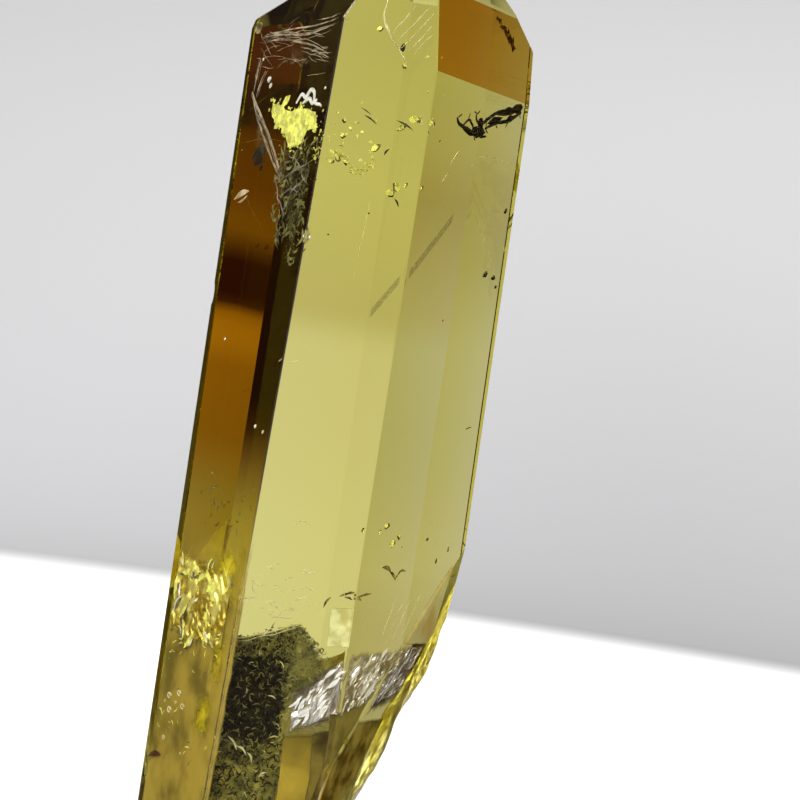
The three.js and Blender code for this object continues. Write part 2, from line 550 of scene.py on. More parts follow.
class Solids:
    """Closed solids gathered into one mesh, with their sizes in millimetres."""

    def __init__(self):
        self.bm = bmesh.new()
        self.inside = self.bm.verts.layers.float.new("inside")

    def vertex(self, point, inside=0.0):
        """A new corner. inside says how far from the solid's rim it is, from 0 to 1."""
        made = self.bm.verts.new(point)
        made[self.inside] = inside
        return made

    def sheet(self, rim, thick=0.06, rings=1, bow=0.0, seed=0):
        """A thin closed plate inside a rim of points. bow is how far it swells off its plane."""
        centre = sum(rim, Vector()) / len(rim)
        out = sum(((a - centre).cross(b - centre) for a, b in pairs_round(rim)), Vector()).normalized()
        skins = []
        for side in (-0.5, 0.5):
            rows = []
            for ring in range(rings + 1):
                row = []
                for point in rim if ring else rim[:1]:
                    place = centre.lerp(point, ring / rings)
                    place += out * (bow * noise_at(place, 3.0, seed) + side * thick) * MM
                    row.append(self.vertex(place, 1 - ring / rings))
                rows.append(row)
            skins.append(rows)
        face = self.bm.faces.new
        for rows in skins:
            for i, j in pairs_round(range(len(rim))):
                face([rows[0][0], rows[1][i], rows[1][j]])
                for inner, outer in zip(rows[1:], rows[2:]):
                    face([inner[i], outer[i], outer[j], inner[j]])
        for i, j in pairs_round(range(len(rim))):
            face([skins[0][-1][i], skins[1][-1][i], skins[1][-1][j], skins[0][-1][j]])

    def foil(self, corners, normal, relief, cell=0.3, thick=0.08):
        """A crinkled plate between four corners. relief(u, v) is how far it stands off a place along its sides."""
        wide = (corners[1] - corners[0]).length / MM
        tall = (corners[3] - corners[0]).length / MM
        columns, rows = max(int(wide / cell), 4), max(int(tall / cell), 4)
        skins = []
        for side in (-0.5, 0.5):
            skin = []
            for i in range(columns + 1):
                for j in range(rows + 1):
                    s, t = i / columns, j / rows
                    point = corners[0].lerp(corners[1], s).lerp(corners[3].lerp(corners[2], s), t)
                    point += normal * (relief(s * wide, t * tall) + side * thick) * MM
                    skin.append(self.vertex(point, min(1.0, 12 * min(s, 1 - s), 4 * min(t, 1 - t))))
            skins.append(skin)
        step = rows + 1
        face = self.bm.faces.new
        for skin in skins:
            for i in range(columns):
                for j in range(rows):
                    k = i * step + j
                    face([skin[k], skin[k + step], skin[k + step + 1]])
                    face([skin[k], skin[k + step + 1], skin[k + 1]])
        low, high = skins
        border = [(i * step, (i + 1) * step) for i in range(columns)]
        border += [(i * step + rows, (i + 1) * step + rows) for i in range(columns)]
        border += [(j, j + 1) for j in range(rows)]
        border += [(columns * step + j, columns * step + j + 1) for j in range(rows)]
        for a, b in border:
            face([low[a], low[b], high[b], high[a]])

    def thread(self, points, radius, sides=5, thin=0.2):
        """A round thread through points, thinning to its closed ends."""
        rings = []
        last = len(points) - 1
        for i, point in enumerate(points):
            along = (points[min(i + 1, last)] - points[max(i - 1, 0)]).normalized()
            side = along.cross(THREAD_SIDE).normalized()
            up = along.cross(side)
            reach = radius * (thin + (1 - thin) * math.sin(math.pi * i / last) ** 0.6) * MM
            turns = [2 * math.pi * k / sides for k in range(sides)]
            rings.append([self.vertex(point + (side * math.cos(turn) + up * math.sin(turn)) * reach) for turn in turns])
        for low, high in zip(rings, rings[1:]):
            for k, j in pairs_round(range(sides)):
                self.bm.faces.new([low[k], low[j], high[j], high[k]])
        self.bm.faces.new(rings[0])
        self.bm.faces.new(rings[-1])

    def grain(self, place, size, seed=0, rough=0.35):
        """A lump. place is its frame and size its half lengths along it."""
        start = len(self.bm.verts)
        bmesh.ops.create_icosphere(self.bm, subdivisions=2, radius=1.0)
        self.bm.verts.ensure_lookup_table()
        for vertex in self.bm.verts[start:]:
            swell = 1 + rough * noise.noise(vertex.co * 1.7 + Vector((seed, seed * 2.3, 0.0)))
            vertex.co = place @ Vector(axis * part * swell * MM for axis, part in zip(vertex.co, size))

    def mesh(self):
        """The solids as a mesh, with their normals outwards."""
        bmesh.ops.recalc_face_normals(self.bm, faces=self.bm.faces)
        mesh = bpy.data.meshes.new("mesh")
        self.bm.to_mesh(mesh)
        self.bm.free()
        return mesh

    def piece(self, name, slot, finish):
        """The solids as one finished piece."""
        return add_piece(name, self.mesh(), finish)


THREAD_SIDE = Vector((0.31, 0.52, 0.8))  # no thread runs along this


def hackles(lean, height, seed, length=3.0, width=0.9):
    """Leaning sharp ridges, as a relief for a foil: how far they lean, their height, length and width."""
    cos, sin = math.cos(math.radians(lean)), math.sin(math.radians(lean))

    def relief(u, v):
        along, over = (u * cos + v * sin) / length, (v * cos - u * sin) / width
        ridge = 1 - 2 * abs(noise.noise(Vector((along, over, seed))))
        crumple = noise.noise(Vector((along * 2.6, over * 1.7, seed + 5.0)))
        return height * (ridge * 0.8 + crumple * 0.7)

    return relief


def turned(degrees, axis="Z"):
    return Matrix.Rotation(math.radians(degrees), 4, axis)


def place(face, across, height, depth, turn=0.0, tip=0.0):
    """A face's own frame at a spot under it: x across it, y up it and z out of it, turned and tipped by degrees."""
    middle = Matrix.Translation(spot(face, across, height, depth))
    return middle @ FACES[face].axes() @ (turned(turn) @ turned(tip, "X"))


def at_mm(*parts):
    """A point from its millimetres."""
    return Vector(parts) * MM


def spots(face, depth, pairs):
    """Points under a face, each given by its share across the face and its height."""
    return [spot(face, across, height, depth) for across, height in pairs]


def under(face, depth, pairs):
    """Points under a face that looks right, each given by its place from front to back and its height."""
    source = FACES[face]
    made = []
    for deep, height in pairs:
        point = at_mm(0, deep, height)
        point.x = (source.offset - depth * MM - source.normal.dot(point)) / source.normal.x
        made.append(point)
    return made


def trail(points, steps=6, wander=0.0, seed=0):
    """A smooth path through points that wanders a little off it."""
    ends = [points[0] * 2 - points[1], *points, points[-1] * 2 - points[-2]]
    path = []
    for a, b, c, d in zip(ends, ends[1:], ends[2:], ends[3:]):
        for i in range(steps):
            t = i / steps
            bend = (c - a) * t + (a * 2 - b * 5 + c * 4 - d) * t * t + (b * 3 - a - c * 3 + d) * t ** 3
            path.append(b + bend / 2)
    path.append(points[-1])
    shift = Vector((0.7, 0.5, 0.5)) * wander * MM
    return [point + shift * noise_at(point, 1.5, seed) for point in path]


def bowed(frame_, half, lift):
    """Three points along a frame's x, the middle one off it by lift."""
    return [frame_ @ at_mm(*point) for point in ((-half, 0, 0), (0, lift, 0), (half, 0, 0))]


def crumpled(rim, steps=4, rough=0.4, seed=0):
    """A rim with more points, moved in and out of line."""
    centre = sum(rim, Vector()) / len(rim)
    made = []
    for a, b in pairs_round(rim):
        for i in range(steps):
            point = a.lerp(b, i / steps)
            made.append(point + (point - centre).normalized() * rough * noise_at(point, 1.0, seed) * MM)
    return made


def chip_rim(frame_, length, width, rng, count=9, rough=0.35):
    """The ragged outline of a small flake lying in a frame."""
    rim = []
    for i in range(count):
        turn = 2 * math.pi * i / count
        reach = 1 - rough * rng.random()
        rim.append(frame_ @ Vector((length * math.cos(turn) * reach * MM, width * math.sin(turn) * reach * MM, 0)))
    return rim


def leaf_rim(frame_, length, width, bend=0.0, count=7):
    """A pointed leaf along its frame's x, bowed to one side."""
    rim = []
    for side in (1, -1):
        for i in range(count):
            share = i / count if side > 0 else 1 - i / count
            arc = math.sin(math.pi * share)
            rim.append(frame_ @ at_mm(length * (share - 0.5), side * width * arc / 2 + bend * arc, 0))
    return rim


def sheet_mesh(rim, thick=0.02, rings=1, **how):
    """A mesh of one sheet: a bed that other shapes are scattered over, or such a shape."""
    solids = Solids()
    solids.sheet(rim, thick, rings, **how)
    return solids.mesh()


def bed(rim, **how):
    """A sheet that other shapes are scattered over."""
    return sheet_mesh(rim, rings=4, **how)


def flake_mesh(length, width):
    """One small ragged flake at the origin."""
    return sheet_mesh(chip_rim(Matrix.Identity(4), length, width, random.Random(1), 8), 0.08)


def blade_mesh(length, width, bend):
    """One small pointed blade at the origin."""
    return sheet_mesh(leaf_rim(Matrix.Identity(4), length, width, bend, 5), 0.07)


def films(name, slot, finish, outlines, rough, rings, bow, steps=4, thick=0.06):
    """A piece of crumpled films. outlines holds each one's rim, and the seeds of its rim and of its swells."""
    solids = Solids()
    for rim, rim_seed, seed in outlines:
        solids.sheet(crumpled(rim, steps, rough, rim_seed), thick, rings, bow, seed)
    solids.piece(name, slot, finish)


def scatter_tree():
    """Geometry Nodes that scatter a small shape over a bed, turned and tipped at random."""
    tree = bpy.data.node_groups.new("Scattered over a bed", "GeometryNodeTree")
    for name, kind in SCATTER_INPUTS.items():
        tree.interface.new_socket(name, in_out="INPUT", socket_type="NodeSocket" + kind)
    tree.interface.new_socket("Scattered", in_out="OUTPUT", socket_type="NodeSocketGeometry")
    graph = Graph(tree)
    given = graph.node("NodeGroupInput")
    seed = given["Seed"]

    def drawn(kind, low, high):
        inputs = {"Min": low, "Max": high, "Seed": seed}
        return graph.node("FunctionNodeRandomValue", {"data_type": kind}, inputs)["Value"]

    points = graph.node(
        "GeometryNodeDistributePointsOnFaces",
        {"distribute_method": "RANDOM"},
        {"Mesh": given["Bed"], "Density": given["Density"], "Seed": seed},
    )
    shape = graph.node("GeometryNodeObjectInfo", {"transform_space": "ORIGINAL"}, {"Object": given["Shape"]})
    swing = drawn("FLOAT_VECTOR", (-1.0, -1.0, -1.0), (1.0, 1.0, 1.0))
    reach = graph.node("CombineXYZ", None, {"X": given["Tip"], "Y": given["Tip"], "Z": given["Turn"]})["Vector"]
    angles = graph.node("VectorMath", {"operation": "MULTIPLY"}, {0: swing, 1: reach})["Vector"]
    spin = graph.node("FunctionNodeEulerToRotation", None, {"Euler": angles})["Rotation"]
    rotation = graph.node(
        "FunctionNodeRotateRotation",
        {"rotation_space": "LOCAL"},
        {"Rotation": points["Rotation"], "Rotate By": spin},
    )["Rotation"]
    placed = graph.node("GeometryNodeInstanceOnPoints", None, {
        "Points": points["Points"],
        "Instance": shape["Geometry"],
        "Rotation": rotation,
        "Scale": drawn("FLOAT", given["Smallest"], given["Largest"]),
    })["Instances"]
    real = graph.node("GeometryNodeRealizeInstances", None, {"Geometry": placed})["Geometry"]
    done = graph.node("GeometryNodeSetMaterial", None, {"Geometry": real, "Material": given["Finish"]})["Geometry"]
    graph.finish("NodeGroupOutput", {"Scattered": done})
    return tree


SCATTER_INPUTS = {
    "Bed": "Geometry",
    "Shape": "Object",
    "Density": "Float",
    "Seed": "Int",
    "Smallest": "Float",
    "Largest": "Float",
    "Tip": "Float",
    "Turn": "Float",
    "Finish": "Material",
}


def scattered(bed_mesh, shape_mesh, finish, density, seed, smallest, largest, tip):
    """A mesh of one small shape scattered over a bed, density to the square centimetre. Its size is a multiple."""
    tree = bpy.data.node_groups.get("Scattered over a bed") or scatter_tree()
    holder = bpy.data.objects.new("bed", bed_mesh)
    shape = bpy.data.objects.new("shape", shape_mesh)
    for extra in (holder, shape):
        bpy.context.scene.collection.objects.link(extra)
    scatter = holder.modifiers.new("scatter", "NODES")
    scatter.node_group = tree
    values = {
        "Shape": shape,
        "Density": density * 1e4,
        "Seed": seed,
        "Smallest": smallest,
        "Largest": largest,
        "Tip": math.radians(tip),
        "Turn": math.pi,
        "Finish": finish,
    }
    for socket in tree.interface.items_tree:
        if socket.name in values:
            scatter[socket.identifier] = values[socket.name]
    result = plain_mesh(holder)
    for extra in (holder, shape):
        bpy.data.objects.remove(extra)
    return result


def joined(*meshes):
    """Several meshes as one."""
    bm = bmesh.new()
    for mesh in meshes:
        bm.from_mesh(mesh)
    result = bpy.data.meshes.new("joined")
    bm.to_mesh(result)
    bm.free()
    return result


class CitrineInclusionSettings(bpy.types.PropertyGroup):
    """The colours of what is sealed in the crystal."""

    glow: colour_setting("Glow", "Yellow glinting flakes", (1.0, 1.0, 0.22))
    white: colour_setting("White", "White glinting cracks", (0.98, 0.96, 0.92))
    needle: colour_setting("Needle", "Pinkish-white needles", (0.72, 0.6, 0.5))
    black: colour_setting("Black", "Black mineral", (0.012, 0.008, 0.004))
    moss: colour_setting("Moss", "Dark mossy mineral", (0.028, 0.02, 0.006))
    olive: colour_setting("Olive", "Paler mossy mineral", (0.24, 0.22, 0.07))
    amber: colour_setting("Amber", "Cloudy amber zone low down", (0.52, 0.38, 0.06))


class CITRINE_OT_upper_left(bpy.types.Operator):
    """Build the glowing patch, threads, needles and moss behind the upper left face"""

    bl_idname = "citrine.upper_left"
    bl_label = "Upper left inclusions"

    def execute(self, context):
        look = context.scene.citrine_inclusions
        # The yellow and white glints glow a little in their own colour: painted highlights, though they are no lamp.
        glow = mineral_material("Yellow glint", *tones(look.glow, 0.55, 1.0), 0.25, 1100.0, painted_glow=0.18)
        white = mineral_material("White glint", *tones(look.white, 0.8, 1.0), 0.2, 1200.0, painted_glow=0.15)
        pale = mineral_material("Pale needle", *tones(look.needle, 0.3, 1.0), 0.3, 700.0)
        black = mineral_material("Black mineral", *tones(look.black, 0.5, 2.2), 0.3)
        tan = mineral_material("Tan flake", (0.5, 0.36, 0.2), (0.9, 0.75, 0.55), 0.35, 700.0)
        olive = mineral_material("Olive moss", *tones(look.olive, 0.25, 1.8), 0.5, 1100.0)
        self.glow_patch(glow)
        self.zigzag(white)
        self.threads(pale)
        self.needles(pale)
        solids = Solids()
        solids.grain(place("front_left", 0.21, 94.4, 2.2, 20), (1.7, 1.25, 0.5), 3, rough=0.5)
        solids.grain(place("front_left", 0.27, 92.9, 2.2, 60), (0.9, 0.35, 0.3), 8, rough=0.5)
        solids.piece("dark_oval", DARK, black)
        solids = Solids()
        solids.sheet(leaf_rim(place("front_left", 0.09, 88.7, 1.5, 16, 10), 4.6, 0.95, 0.3), thick=0.15)
        solids.sheet(leaf_rim(place("front_left", 0.1, 88.2, 1.9, 22, -20), 3.0, 0.5, -0.2), thick=0.12)
        solids.piece("tan_flake", BRIGHT, tan)
        self.moss(olive, pale)
        return {"FINISHED"}

    def glow_patch(self, finish):
        """A crowd of bright flakes on a ragged healed crack, glowing a little as a painted highlight where the crack
        catches the light.
        """
        rng = random.Random(5)
        middle, heart = GLOW_HEART
        solids = Solids()
        solids.sheet(crumpled(spots("front_left", 1.1, GLOW_RIM), 4, 0.9, 3), thick=0.1, rings=3, bow=0.4, seed=2)
        for across, height in GLOW_RIM:
            nearer = across + (middle - across) * rng.uniform(-0.05, 0.5)
            lift = height + (heart - height) * rng.uniform(-0.1, 0.5)
            frame_ = place("front_left", nearer, lift, 1.2, rng.uniform(0, 180), rng.uniform(-25, 25))
            solids.sheet(chip_rim(frame_, rng.uniform(0.6, 1.5), rng.uniform(0.4, 0.9), rng), thick=0.1)
        wide = [(middle + (across - middle) * 1.15, heart + (height - heart) * 1.3) for across, height in GLOW_RIM]
        loose = scattered(bed(spots("front_left", 1.3, wide)), flake_mesh(0.45, 0.28), finish, 70, 4, 0.3, 1.0, 50)
        add_piece("glow_patch", joined(solids.mesh(), loose), finish)

    def zigzag(self, finish):
        """The white zigzag crack above the glowing patch, and loose white grains, all glowing a little as painted
        highlights.
        """
        solids = Solids()
        for pairs in ZIGZAG_LINES:
            solids.thread(trail(spots("front_left", 0.8, pairs), 3, 0.5, 1), 0.34, thin=0.5)
        for across, height, size in WHITE_GRAINS:
            solids.grain(place("front_left", across, height, 1.5, 30), (size * 1.3, size, size * 0.6), height)
        solids.piece("white_zigzag", BRIGHT, finish)

    def threads(self, finish):
        """Tangled pale threads across the top, with looser strands beside them."""
        rng = random.Random(12)
        solids = Solids()
        for pairs in THREAD_LINES:
            line = spots("front_left", rng.uniform(1.6, 2.4), pairs)
            solids.thread(trail(line, 6, 0.35, rng.random() * 9), rng.uniform(0.1, 0.17))
            for _ in range(2):
                shift = FACES["front_left"].sideways * rng.uniform(-0.8, 0.8) + Vector((0, 0, rng.uniform(-0.7, 0.7)))
                loose = [point + shift * MM for point in line]
                solids.thread(trail(loose, 6, 0.6, rng.random() * 9), rng.uniform(0.03, 0.07))
        for i in range(30):
            across, height = rng.uniform(0.06, 0.8), 112.2 - abs(rng.gauss(0, 3.4))
            frame_ = place("front_left", across, height, rng.uniform(1.2, 3), rng.gauss(0, 18), rng.uniform(-20, 20))
            line = bowed(frame_, rng.uniform(0.9, 3.6), rng.uniform(-0.3, 0.3))
            solids.thread(trail(line, 5, 0.3, i), rng.uniform(0.025, 0.06))
        solids.piece("upper_threads", BRIGHT, finish)

    def needles(self, finish):
        """Two bundles of long needles that run down from the left edge."""
        rng = random.Random(31)
        solids = Solids()
        for pairs, depth, radius in NEEDLE_LINES:
            line = spots("front_left", depth, pairs)
            solids.thread(trail(line, 6, 0.25, depth), radius, thin=0.35)
            for strand in range(4):
                shift = Vector([rng.uniform(-0.35, 0.35) for _ in range(3)]) * MM
                solids.thread(trail([point + shift for point in line], 6, 0.5, strand), radius * 0.3)
        solids.piece("long_needles", BRIGHT, finish)

    def moss(self, finish, pale):
        """Olive fibres over a mottled film, in the inner part of the face below the glowing patch."""
        rng = random.Random(8)
        film = veil_material(
            "Olive film", (0.02, 0.016, 0.004), (0.16, 0.14, 0.04), 700.0, 0.1, 0.45, 0.5, soft=0.6, most=0.6
        )
        films("upper_moss_film", DARK, film, [(spots("front_left", 1.5, MOSS_RIM), 6, 2)], 0.5, 6, 0.2)
        ground = bed(spots("front_left", 1.3, MOSS_RIM), bow=0.4, seed=4)
        fibres = scattered(ground, blade_mesh(2.6, 0.2, 0.9), finish, 34, 6, 0.4, 1.2, 30)
        specks = scattered(ground.copy(), flake_mesh(0.26, 0.16), finish, 60, 9, 0.4, 1.0, 60)
        add_piece("upper_moss", joined(fibres, specks), finish)
        solids = Solids()
        for pairs in MOSS_THREADS:
            line = spots("front_left", rng.uniform(0.9, 1.3), pairs)
            solids.thread(trail(line, 6, 0.8, rng.random() * 7), rng.uniform(0.09, 0.15))
        solids.piece("moss_threads", BRIGHT, pale)
        haze = veil_material(
            "Brown haze", (0.1, 0.07, 0.03), (0.4, 0.3, 0.17), 420.0, 0.3, 0.7, 0.5, soft=0.8, most=0.4
        )
        outlines = [(spots("front_left", depth, rim), depth, depth) for depth, rim in HAZE_RIMS]
        films("upper_haze", BRIGHT, haze, outlines, 0.7, 6, 0.4)


# Places under a face are given by their share across it, from its left edge, and their height in millimetres. Depths
# under it, sizes and radii are in millimetres too, and turns in degrees.
# Each film's depth and rim.
HAZE_RIMS = [
    (2.6, [(0.03, 104.0), (0.16, 103.0), (0.36, 97.5), (0.42, 93.0), (0.28, 91.5), (0.12, 93.0), (0.04, 98.0)]),
    (2.8, [(0.05, 111.6), (0.82, 111.6), (0.84, 106.5), (0.5, 105.5), (0.2, 107.0), (0.05, 107.5)]),
]
GLOW_HEART = (0.6, 98.7)  # the middle of the glowing patch
GLOW_RIM = [
    (0.32, 101.6), (0.42, 101.6), (0.46, 100.4), (0.66, 100.8), (0.85, 100.1), (0.90, 98.0),
    (0.79, 97.5), (0.73, 95.8), (0.61, 95.5), (0.50, 97.7), (0.38, 99.0), (0.31, 100.5),
]
ZIGZAG_LINES = [
    [(0.61, 101.5), (0.66, 102.7), (0.71, 102.2), (0.75, 103.1), (0.80, 102.9), (0.83, 101.5), (0.91, 100.9)],
    [(0.68, 101.3), (0.75, 102.0), (0.80, 101.4), (0.85, 101.9)],
]
# Each grain's place and size.
WHITE_GRAINS = [
    (0.21, 105.2, 0.42), (0.24, 104.3, 0.34), (0.95, 83.2, 0.22), (0.63, 83.3, 0.2), (0.17, 68.3, 0.2),
    (0.76, 57.0, 0.28), (0.87, 56.4, 0.24), (0.9, 103.4, 0.2), (0.1, 108.2, 0.2),
]
THREAD_LINES = [
    [(0.02, 111.4), (0.22, 111.6), (0.55, 111.2), (0.86, 112.1)],
    [(0.04, 110.6), (0.25, 110.9), (0.46, 110.3), (0.66, 109.5), (0.85, 108.2)],
    [(0.07, 111.8), (0.32, 112.2), (0.58, 112.3), (0.86, 112.9)],
    [(0.52, 109.5), (0.70, 108.7), (0.87, 107.6)],
    [(0.05, 108.4), (0.04, 106.3), (0.03, 103.6)],
    [(0.14, 106.5), (0.10, 104.9), (0.07, 102.7)],
]
# Each needle's line, depth and radius.
NEEDLE_LINES = [
    ([(0.02, 103.6), (0.12, 101.2), (0.29, 97.8), (0.42, 94.7), (0.59, 90.8)], 1.6, 0.2),
    ([(0.03, 102.4), (0.13, 99.5), (0.28, 96.0), (0.42, 93.0), (0.52, 91.3)], 2.2, 0.16),
]
MOSS_RIM = [(0.44, 96.0), (0.90, 96.8), (0.93, 91.0), (0.92, 84.5), (0.88, 78.5), (0.62, 83.0), (0.50, 89.5)]
MOSS_THREADS = [
    [(0.53, 90.5), (0.71, 92.0), (0.92, 93.6)],
    [(0.59, 88.6), (0.7, 89.6), (0.81, 89.3)],
    [(0.67, 86.9), (0.72, 89.4), (0.86, 91.2)],
    [(0.5, 91.4), (0.56, 89.0), (0.68, 86.0)],
    [(0.62, 94.3), (0.75, 93.1), (0.9, 90.0)],
]


class CITRINE_OT_sparkles(bpy.types.Operator):
    """Build the small glints, dark splinters and black dendrite behind the front faces"""

    bl_idname = "citrine.sparkles"
    bl_label = "Glints, splinters and dendrite"

    def execute(self, context):
        look = context.scene.citrine_inclusions
        glow = bpy.data.materials["Yellow glint"]
        black = bpy.data.materials["Black mineral"]
        honey = mineral_material("Honey film", *tones(look.glow, 0.55, 0.85), 0.4)
        umber = mineral_material("Umber mineral", (0.05, 0.035, 0.008), (0.3, 0.25, 0.08), 0.4)
        rng = random.Random(17)
        outlines = self.glints(rng, glow)
        self.honey_veil(rng, honey)
        high, low = self.splinters(rng)
        high.piece("dark_splinters", DARK, black)
        outlines.piece("glint_outlines", DARK, umber)
        low.piece("umber_splinters", DARK, umber)
        self.dendrite(black)
        self.corner_chips(umber, glow)
        return {"FINISHED"}

    def glints(self, rng, finish):
        """Bright chips and a crowd of tiny leaves, all glowing a little as painted highlights. Gives the dark chips
        that lie behind the larger ones.
        """
        outlines, solids = Solids(), Solids()
        for face, across, height, depth, size in GLINTS:
            frame_ = place(face, across, height, depth, rng.uniform(-60, 60), rng.uniform(-25, 25))
            solids.sheet(chip_rim(frame_, size, size * rng.uniform(0.5, 0.85), rng, 8, 0.45), thick=0.12)
            if size > OUTLINED:
                behind = frame_ @ Matrix.Translation(at_mm(0.14, -0.14, -0.3))
                outlines.sheet(chip_rim(behind, size * 1.2, size * 0.8, rng, 8, 0.5), thick=0.1)
        for _ in range(26):
            across, height = rng.uniform(0.04, 0.5), 96.6 + rng.gauss(0, 2.4)
            frame_ = place("front", across, height, rng.uniform(3.5, 8), rng.uniform(-90, 90), rng.uniform(-40, 40))
            long = rng.uniform(0.1, 0.34)
            solids.sheet(leaf_rim(frame_, long * 2, long * 0.9, long * 0.3), thick=0.08)
        solids.piece("front_glints", BRIGHT, finish)
        return outlines

    def honey_veil(self, rng, finish):
        """A wavy row of thin honey-coloured leaves."""
        solids = Solids()
        for _ in range(60):
            share = rng.random()
            height = 93.9 + 1.3 * math.sin(share * 7) + rng.gauss(0, 0.35)
            depth, turn, tip = rng.uniform(4.5, 6), rng.uniform(-40, 40), rng.uniform(-40, 40)
            long = rng.uniform(0.12, 0.5)
            frame_ = place("front", 0.05 + 0.5 * share, height, depth, turn, tip)
            solids.sheet(leaf_rim(frame_, long * 2, long * 0.5, long * 0.3), thick=0.06)
        solids.piece("honey_veil", BRIGHT, finish)

    def splinters(self, rng):
        """Dark splinters and specks: those high up, and those low down."""
        high, low = Solids(), Solids()
        for face, depth, ends, width in SPLINTERS:
            first, last = spots(face, depth, ends)
            normal, along = FACES[face].normal, (last - first).normalized()
            axes = Matrix((along, normal.cross(along), normal)).transposed().to_4x4()
            middle = first.lerp(last, 0.5)
            rim = leaf_rim(Matrix.Translation(middle) @ axes, (last - first).length / MM, width, width * 0.5)
            target = low if middle.z < BREAK_TOP else high
            target.sheet(crumpled(rim, 2, 0.12, width * 30), thick=width * 0.5)
        for face, across, height, depth, size in SPECKS:
            target = low if height * MM < BREAK_TOP else high
            frame_ = place(face, across, height, depth, rng.uniform(0, 90))
            target.grain(frame_, (size * 1.4, size * 0.8, size * 0.6), height)
        return high, low

    def corner_chips(self, umber, glow):
        """A crumbling dark edge with a few glints that glow a little as painted highlights, under the top right corner.
        """
        rng = random.Random(52)
        dark, pale = Solids(), Solids()
        for i in range(26):
            share = rng.random()
            depth = rng.uniform(2.4, 3.2)
            frame_ = place("front_right", 0.62 + 0.24 * share, 118 - 3.3 * share, depth, rng.gauss(-50, 30))
            target, long = (pale, rng.uniform(0.2, 0.6)) if i % 4 == 0 else (dark, rng.uniform(0.5, 1.5))
            target.sheet(chip_rim(frame_, long, long * 0.3, rng, 8, 0.5), thick=0.1)
        dark.piece("corner_chips", DARK, umber)
        pale.piece("corner_glints", BRIGHT, glow)

    def dendrite(self, finish):
        """A black branching growth with a gap in its thick upper lobe."""
        rng = random.Random(4)
        solids = Solids()
        for pairs, radius in DENDRITE_LINES:
            solids.thread(trail(spots("front_right", 1.7, pairs), 5, 0.5, radius * 7), radius, sides=6, thin=0.5)
        for across, height, long, wide, turn in DENDRITE_LOBES:
            frame_ = place("front_right", across, height, 1.8, turn)
            solids.sheet(crumpled(leaf_rim(frame_, long, wide), 2, 0.3, across * 9), thick=0.3, rings=2)
        for i in range(14):
            pairs, radius = rng.choice(DENDRITE_LINES)
            across, height = rng.choice(pairs)
            frame_ = place("front_right", across, height, 1.7, rng.uniform(0, 360))
            twig = [frame_.translation, frame_ @ at_mm(0.5, 0.1, 0), frame_ @ at_mm(rng.uniform(0.7, 1.3), 0.3, 0.1)]
            solids.thread(trail(twig, 3, 0.2, i), 0.12, thin=0.4)
        solids.piece("dendrite", DARK, finish)


OUTLINED = 0.38  # glints larger than this have a dark chip behind them
# Each glint's face, place, depth and size.
GLINTS = [
    ("front", 0.86, 101.0, 5.0, 0.75), ("front", 0.74, 99.5, 5.0, 0.7), ("front", 0.17, 99.6, 5.0, 0.42),
    ("front", 0.17, 97.5, 5.0, 0.4), ("front", 0.51, 96.4, 5.0, 0.72), ("front", 0.16, 94.4, 5.0, 0.55),
    ("front", 0.10, 93.9, 5.0, 0.5), ("front", 0.73, 90.7, 5.0, 0.72), ("front", 0.87, 92.0, 5.0, 0.4),
    ("front_right", 0.1, 91.6, 5.0, 0.85), ("front", 0.38, 112.4, 5.0, 0.42), ("front", 0.68, 108.0, 5.0, 0.4),
    ("front", 0.91, 109.6, 5.0, 0.34), ("front", 0.24, 98.6, 5.0, 0.3), ("front", 0.09, 100.4, 5.0, 0.32),
    ("front", 0.28, 99.4, 5.0, 0.34), ("front", 0.25, 94.0, 5.0, 0.4), ("front", 0.39, 94.5, 5.0, 0.3),
    ("front", 0.45, 94.2, 5.0, 0.3), ("front_right", 0.2, 105.0, 4.0, 0.3), ("front_right", 0.12, 101.3, 4.0, 0.26),
    ("front_right", 0.28, 46.0, 4.1, 0.7), ("front_right", 0.36, 43.6, 4.1, 0.75),
    ("front_right", 0.42, 44.7, 4.1, 0.5), ("front_right", 0.23, 45.0, 4.1, 0.4),
    ("front_right", 0.46, 43.2, 4.1, 0.34), ("front_right", 0.56, 97.0, 3, 0.25),
]
# Each splinter's face, depth, ends and width.
SPLINTERS = [
    ("front", 5.0, [(0.35, 100.6), (0.50, 99.5)], 0.26), ("front", 5.0, [(0.68, 100.5), (0.87, 99.4)], 0.3),
    ("front", 5.4, [(0.30, 101.6), (0.43, 100.7)], 0.12), ("front", 5.0, [(0.78, 90.1), (0.84, 88.9)], 0.3),
    ("front", 5.0, [(0.62, 95.6), (0.66, 96.5)], 0.28), ("front", 4.0, [(0.74, 34.1), (0.80, 35.8)], 0.42),
    ("front", 4.0, [(0.91, 35.9), (0.99, 35.7)], 0.3), ("front_right", 4.0, [(0.12, 35.9), (0.32, 36.6)], 0.34),
    ("front_right", 4.0, [(0.34, 40.2), (0.45, 39.6)], 0.6), ("front_right", 4.0, [(0.43, 39.7), (0.53, 38.5)], 0.44),
    ("front_right", 4.0, [(0.52, 38.5), (0.56, 40.0)], 0.34), ("front_right", 4.0, [(0.53, 39.7), (0.61, 39.8)], 0.3),
    ("front_right", 3.3, [(0.9, 60.4), (0.97, 60.9)], 0.2), ("front", 3.0, [(0.30, 29.9), (0.33, 31.4)], 0.14),
]
# Each speck's face, place, depth and size.
SPECKS = [
    ("front_right", 0.96, 92.1, 2.0, 0.4), ("front_right", 0.84, 82.6, 2.0, 0.5),
    ("front_right", 0.93, 82.4, 2.0, 0.45), ("front_right", 0.97, 81.2, 2.0, 0.3), ("front", 0.65, 110.1, 3.0, 0.42),
    ("front_right", 0.84, 41.5, 2.5, 0.32), ("front_right", 0.9, 43.2, 2.5, 0.3),
    ("front_right", 0.66, 44.5, 2.5, 0.28), ("front_right", 0.2, 98.8, 3.0, 0.14),
    ("front_right", 0.5, 75.0, 3.0, 0.14), ("front", 0.2, 84.0, 6.0, 0.12), ("front", 0.56, 87.6, 6.0, 0.12),
]
